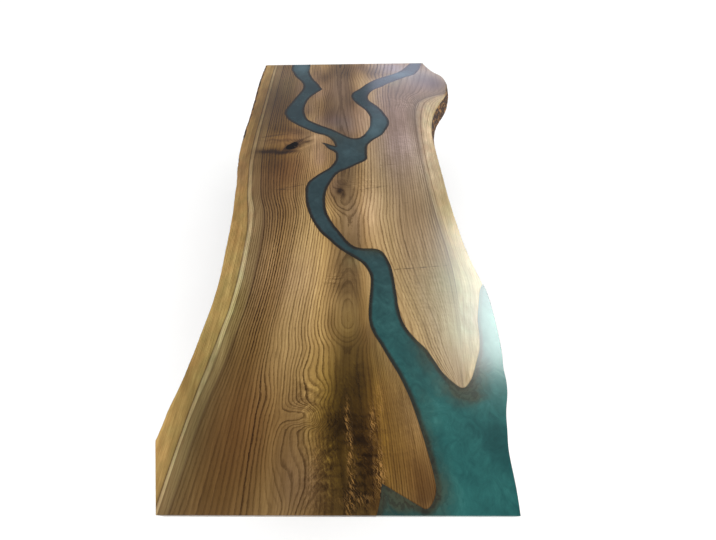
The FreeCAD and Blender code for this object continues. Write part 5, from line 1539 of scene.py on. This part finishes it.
# welds: fillets in the inner corners of the frames and along both sides of the top rails
quarter = [(0.0, 0.0), (4.2, 0.0), (3.5, 1.0), (2.4, 2.3), (1.1, 3.5), (0.0, 4.2)]
flat = [(0.0, 0.0), (4.6, 0.0), (3.9, 1.1), (2.6, 2.6), (1.2, 3.8), (0.0, 4.4)]
for word, sy in (("front", -1), ("rear", 1)):
    s = Shape()
    for sx in (-1, 1):
        for z, up in ((62.0, 1), (669.0, -1)):
            s.swept((340.0 * sx, 620.0 * sy - 37.0, z), (340.0 * sx, 620.0 * sy + 37.0, z),
                    (-sx, 0, 0), (0, 0, up), quarter, 0.65, 0.10, z + sx)
    for side in (-1, 1):
        y = 620.0 * sy + 40.0 * side
        for x0, x1 in ((-372, -292), (-205, -125), (-40, 40), (125, 205), (292, 372)):
            s.swept((x0, y, 709.0), (x1, y, 709.0), (0, side, 0), (0, 0, -1), flat, 0.65, 0.10,
                    x0 + side)
    s.piece(word + "_weld_beads", "table", "frame_steel", (), 50)

# what keeps its CAD shape gets its finish, and its edges a small round
soft_edge = {"frame_steel": 0.0006, "channel_steel": 0.0005, "fastener_steel": 0.0003,
             "insert_brass": 0.0002, "pad_nylon": 0.0005}
for name, obj in frame["nodes"].items():
    slot_name = slot_of[name]
    if name in PIECES:
        continue
    if not len(obj.material_slots):
        obj.data.materials.append(finish[slot_name])
    for entry in obj.material_slots:
        entry.material = finish[slot_name]
    if name.startswith(("foot_stud", "stiffener_screws")) or name.endswith("_plate_bolts"):
        continue
    bevel = obj.modifiers.new("soft_edges", "BEVEL")
    bevel.width, bevel.segments = soft_edge[slot_name], 2
    bevel.limit_method, bevel.angle_limit = "ANGLE", math.radians(32)
    bevel.harden_normals = False


# ---------------------------------------------------------------- floor, light, camera
def flat_material(name, rgb, rough):
    m = Graph(name)
    tint = m.noise(m.scaled(m.place, 1.2, 1.2, 1.2), detail=3)
    colour = m.ramp(tint, [(0.3, lin(*[c - 3 for c in rgb])), (0.7, lin(*rgb))])
    return m.surface(colour, rough)


floor_mesh = bpy.data.meshes.new("floor_shape")
floor_mesh.from_pydata([(-14, -14, 0), (14, -14, 0), (14, 14, 0), (-14, 14, 0)], [], [(0, 1, 2, 3)])
floor_obj = link(bpy.data.objects.new("studio_floor", floor_mesh))
floor_mesh.materials.append(flat_material("floor_paint", (250, 250, 249), 0.85))

world = bpy.data.worlds.new("studio")
bpy.context.scene.world = world
world.use_nodes = True
wt = world.node_tree
wt.nodes.clear()
w_out = wt.nodes.new("ShaderNodeOutputWorld")
w_bg = wt.nodes.new("ShaderNodeBackground")
w_co = wt.nodes.new("ShaderNodeTexCoord")
w_sp = wt.nodes.new("ShaderNodeSeparateXYZ")
w_rp = wt.nodes.new("ShaderNodeValToRGB")
wt.links.new(w_co.outputs["Generated"], w_sp.inputs[0])
wt.links.new(w_sp.outputs["Z"], w_rp.inputs[0])
wt.links.new(w_rp.outputs[0], w_bg.inputs["Color"])
# the camera sees a plain pale backdrop; light and reflections come from the gradient
w_plain = wt.nodes.new("ShaderNodeBackground")
w_plain.inputs["Color"].default_value = (1.06, 1.06, 1.06, 1)
w_path = wt.nodes.new("ShaderNodeLightPath")
w_mix = wt.nodes.new("ShaderNodeMixShader")
wt.links.new(w_path.outputs["Is Camera Ray"], w_mix.inputs[0])
wt.links.new(w_bg.outputs[0], w_mix.inputs[1])
wt.links.new(w_plain.outputs[0], w_mix.inputs[2])
wt.links.new(w_mix.outputs[0], w_out.inputs["Surface"])
w_rp.color_ramp.elements[0].color = (0.95, 0.96, 0.98, 1)
w_rp.color_ramp.elements[1].color = (0.20, 0.195, 0.18, 1)
for where, colour in ((0.28, (0.98, 1.0, 1.08, 1)), (0.48, (0.80, 0.86, 1.0, 1)),
                      (0.68, (0.40, 0.41, 0.43, 1))):
    w_rp.color_ramp.elements.new(where).color = colour
w_bg.inputs["Strength"].default_value = 0.5


def panel(name, at, toward, size_x, size_y, power, colour=(1, 1, 1), diffuse=True, glossy=True):
    light = bpy.data.lights.new(name, "AREA")
    light.shape, light.size, light.size_y = "RECTANGLE", size_x, size_y
    light.energy, light.color = power, colour
    obj = link(bpy.data.objects.new(name, light))
    obj.location = at
    obj.rotation_euler = (Vector(toward) - Vector(at)).to_track_quat("-Z", "Y").to_euler()
    obj.visible_diffuse, obj.visible_glossy = diffuse, glossy
    obj.visible_camera = False
    return obj


sun = bpy.data.lights.new("soft_overhead", "SUN")
sun.energy, sun.angle, sun.color = 3.25, math.radians(100), (1.0, 0.99, 0.975)
sun_obj = link(bpy.data.objects.new("soft_overhead", sun))
sun_obj.rotation_euler = Vector((0.25, -0.45, 1.0)).to_track_quat("Z", "Y").to_euler()
sun_obj.visible_glossy = False
panel("front_fill", (-1.6, -4.2, 2.0), (0.0, 0.0, 0.6), 2.6, 1.8, 40, (1, 1, 1), True, False)
# the window that glares on the right of the top, and the pale sky on its far end
panel("window", (1.575, 0.95, 2.76), (1.575, 0.95, 0.0), 1.25, 1.7, 104, (0.98, 1.02, 0.99), False, True)
panel("sky_patch", (0.66, 3.5, 2.02), (0.66, -3.5, 0.1), 1.0, 0.6, 3.7, (0.92, 0.93, 1.2), False, True)

cam_data = bpy.data.cameras.new("photo_camera")
cam_data.lens, cam_data.sensor_width, cam_data.sensor_fit = 18.855, 36.0, "HORIZONTAL"
cam_data.clip_start, cam_data.clip_end = 0.01, 100
cam_obj = link(bpy.data.objects.new("photo_camera", cam_data))
right = Vector((0.99989504, 0.00285002, -0.01420518))
up = Vector((0.00611067, 0.8060303, 0.59184273))
back = right.cross(up)
m3 = Matrix((right, up, back)).transposed()
cam_obj.matrix_world = Matrix.Translation((0.050808, -1.10336697, 1.76)) @ m3.to_4x4()
bpy.context.scene.camera = cam_obj
bpy.context.scene.view_settings.view_transform = "Standard"
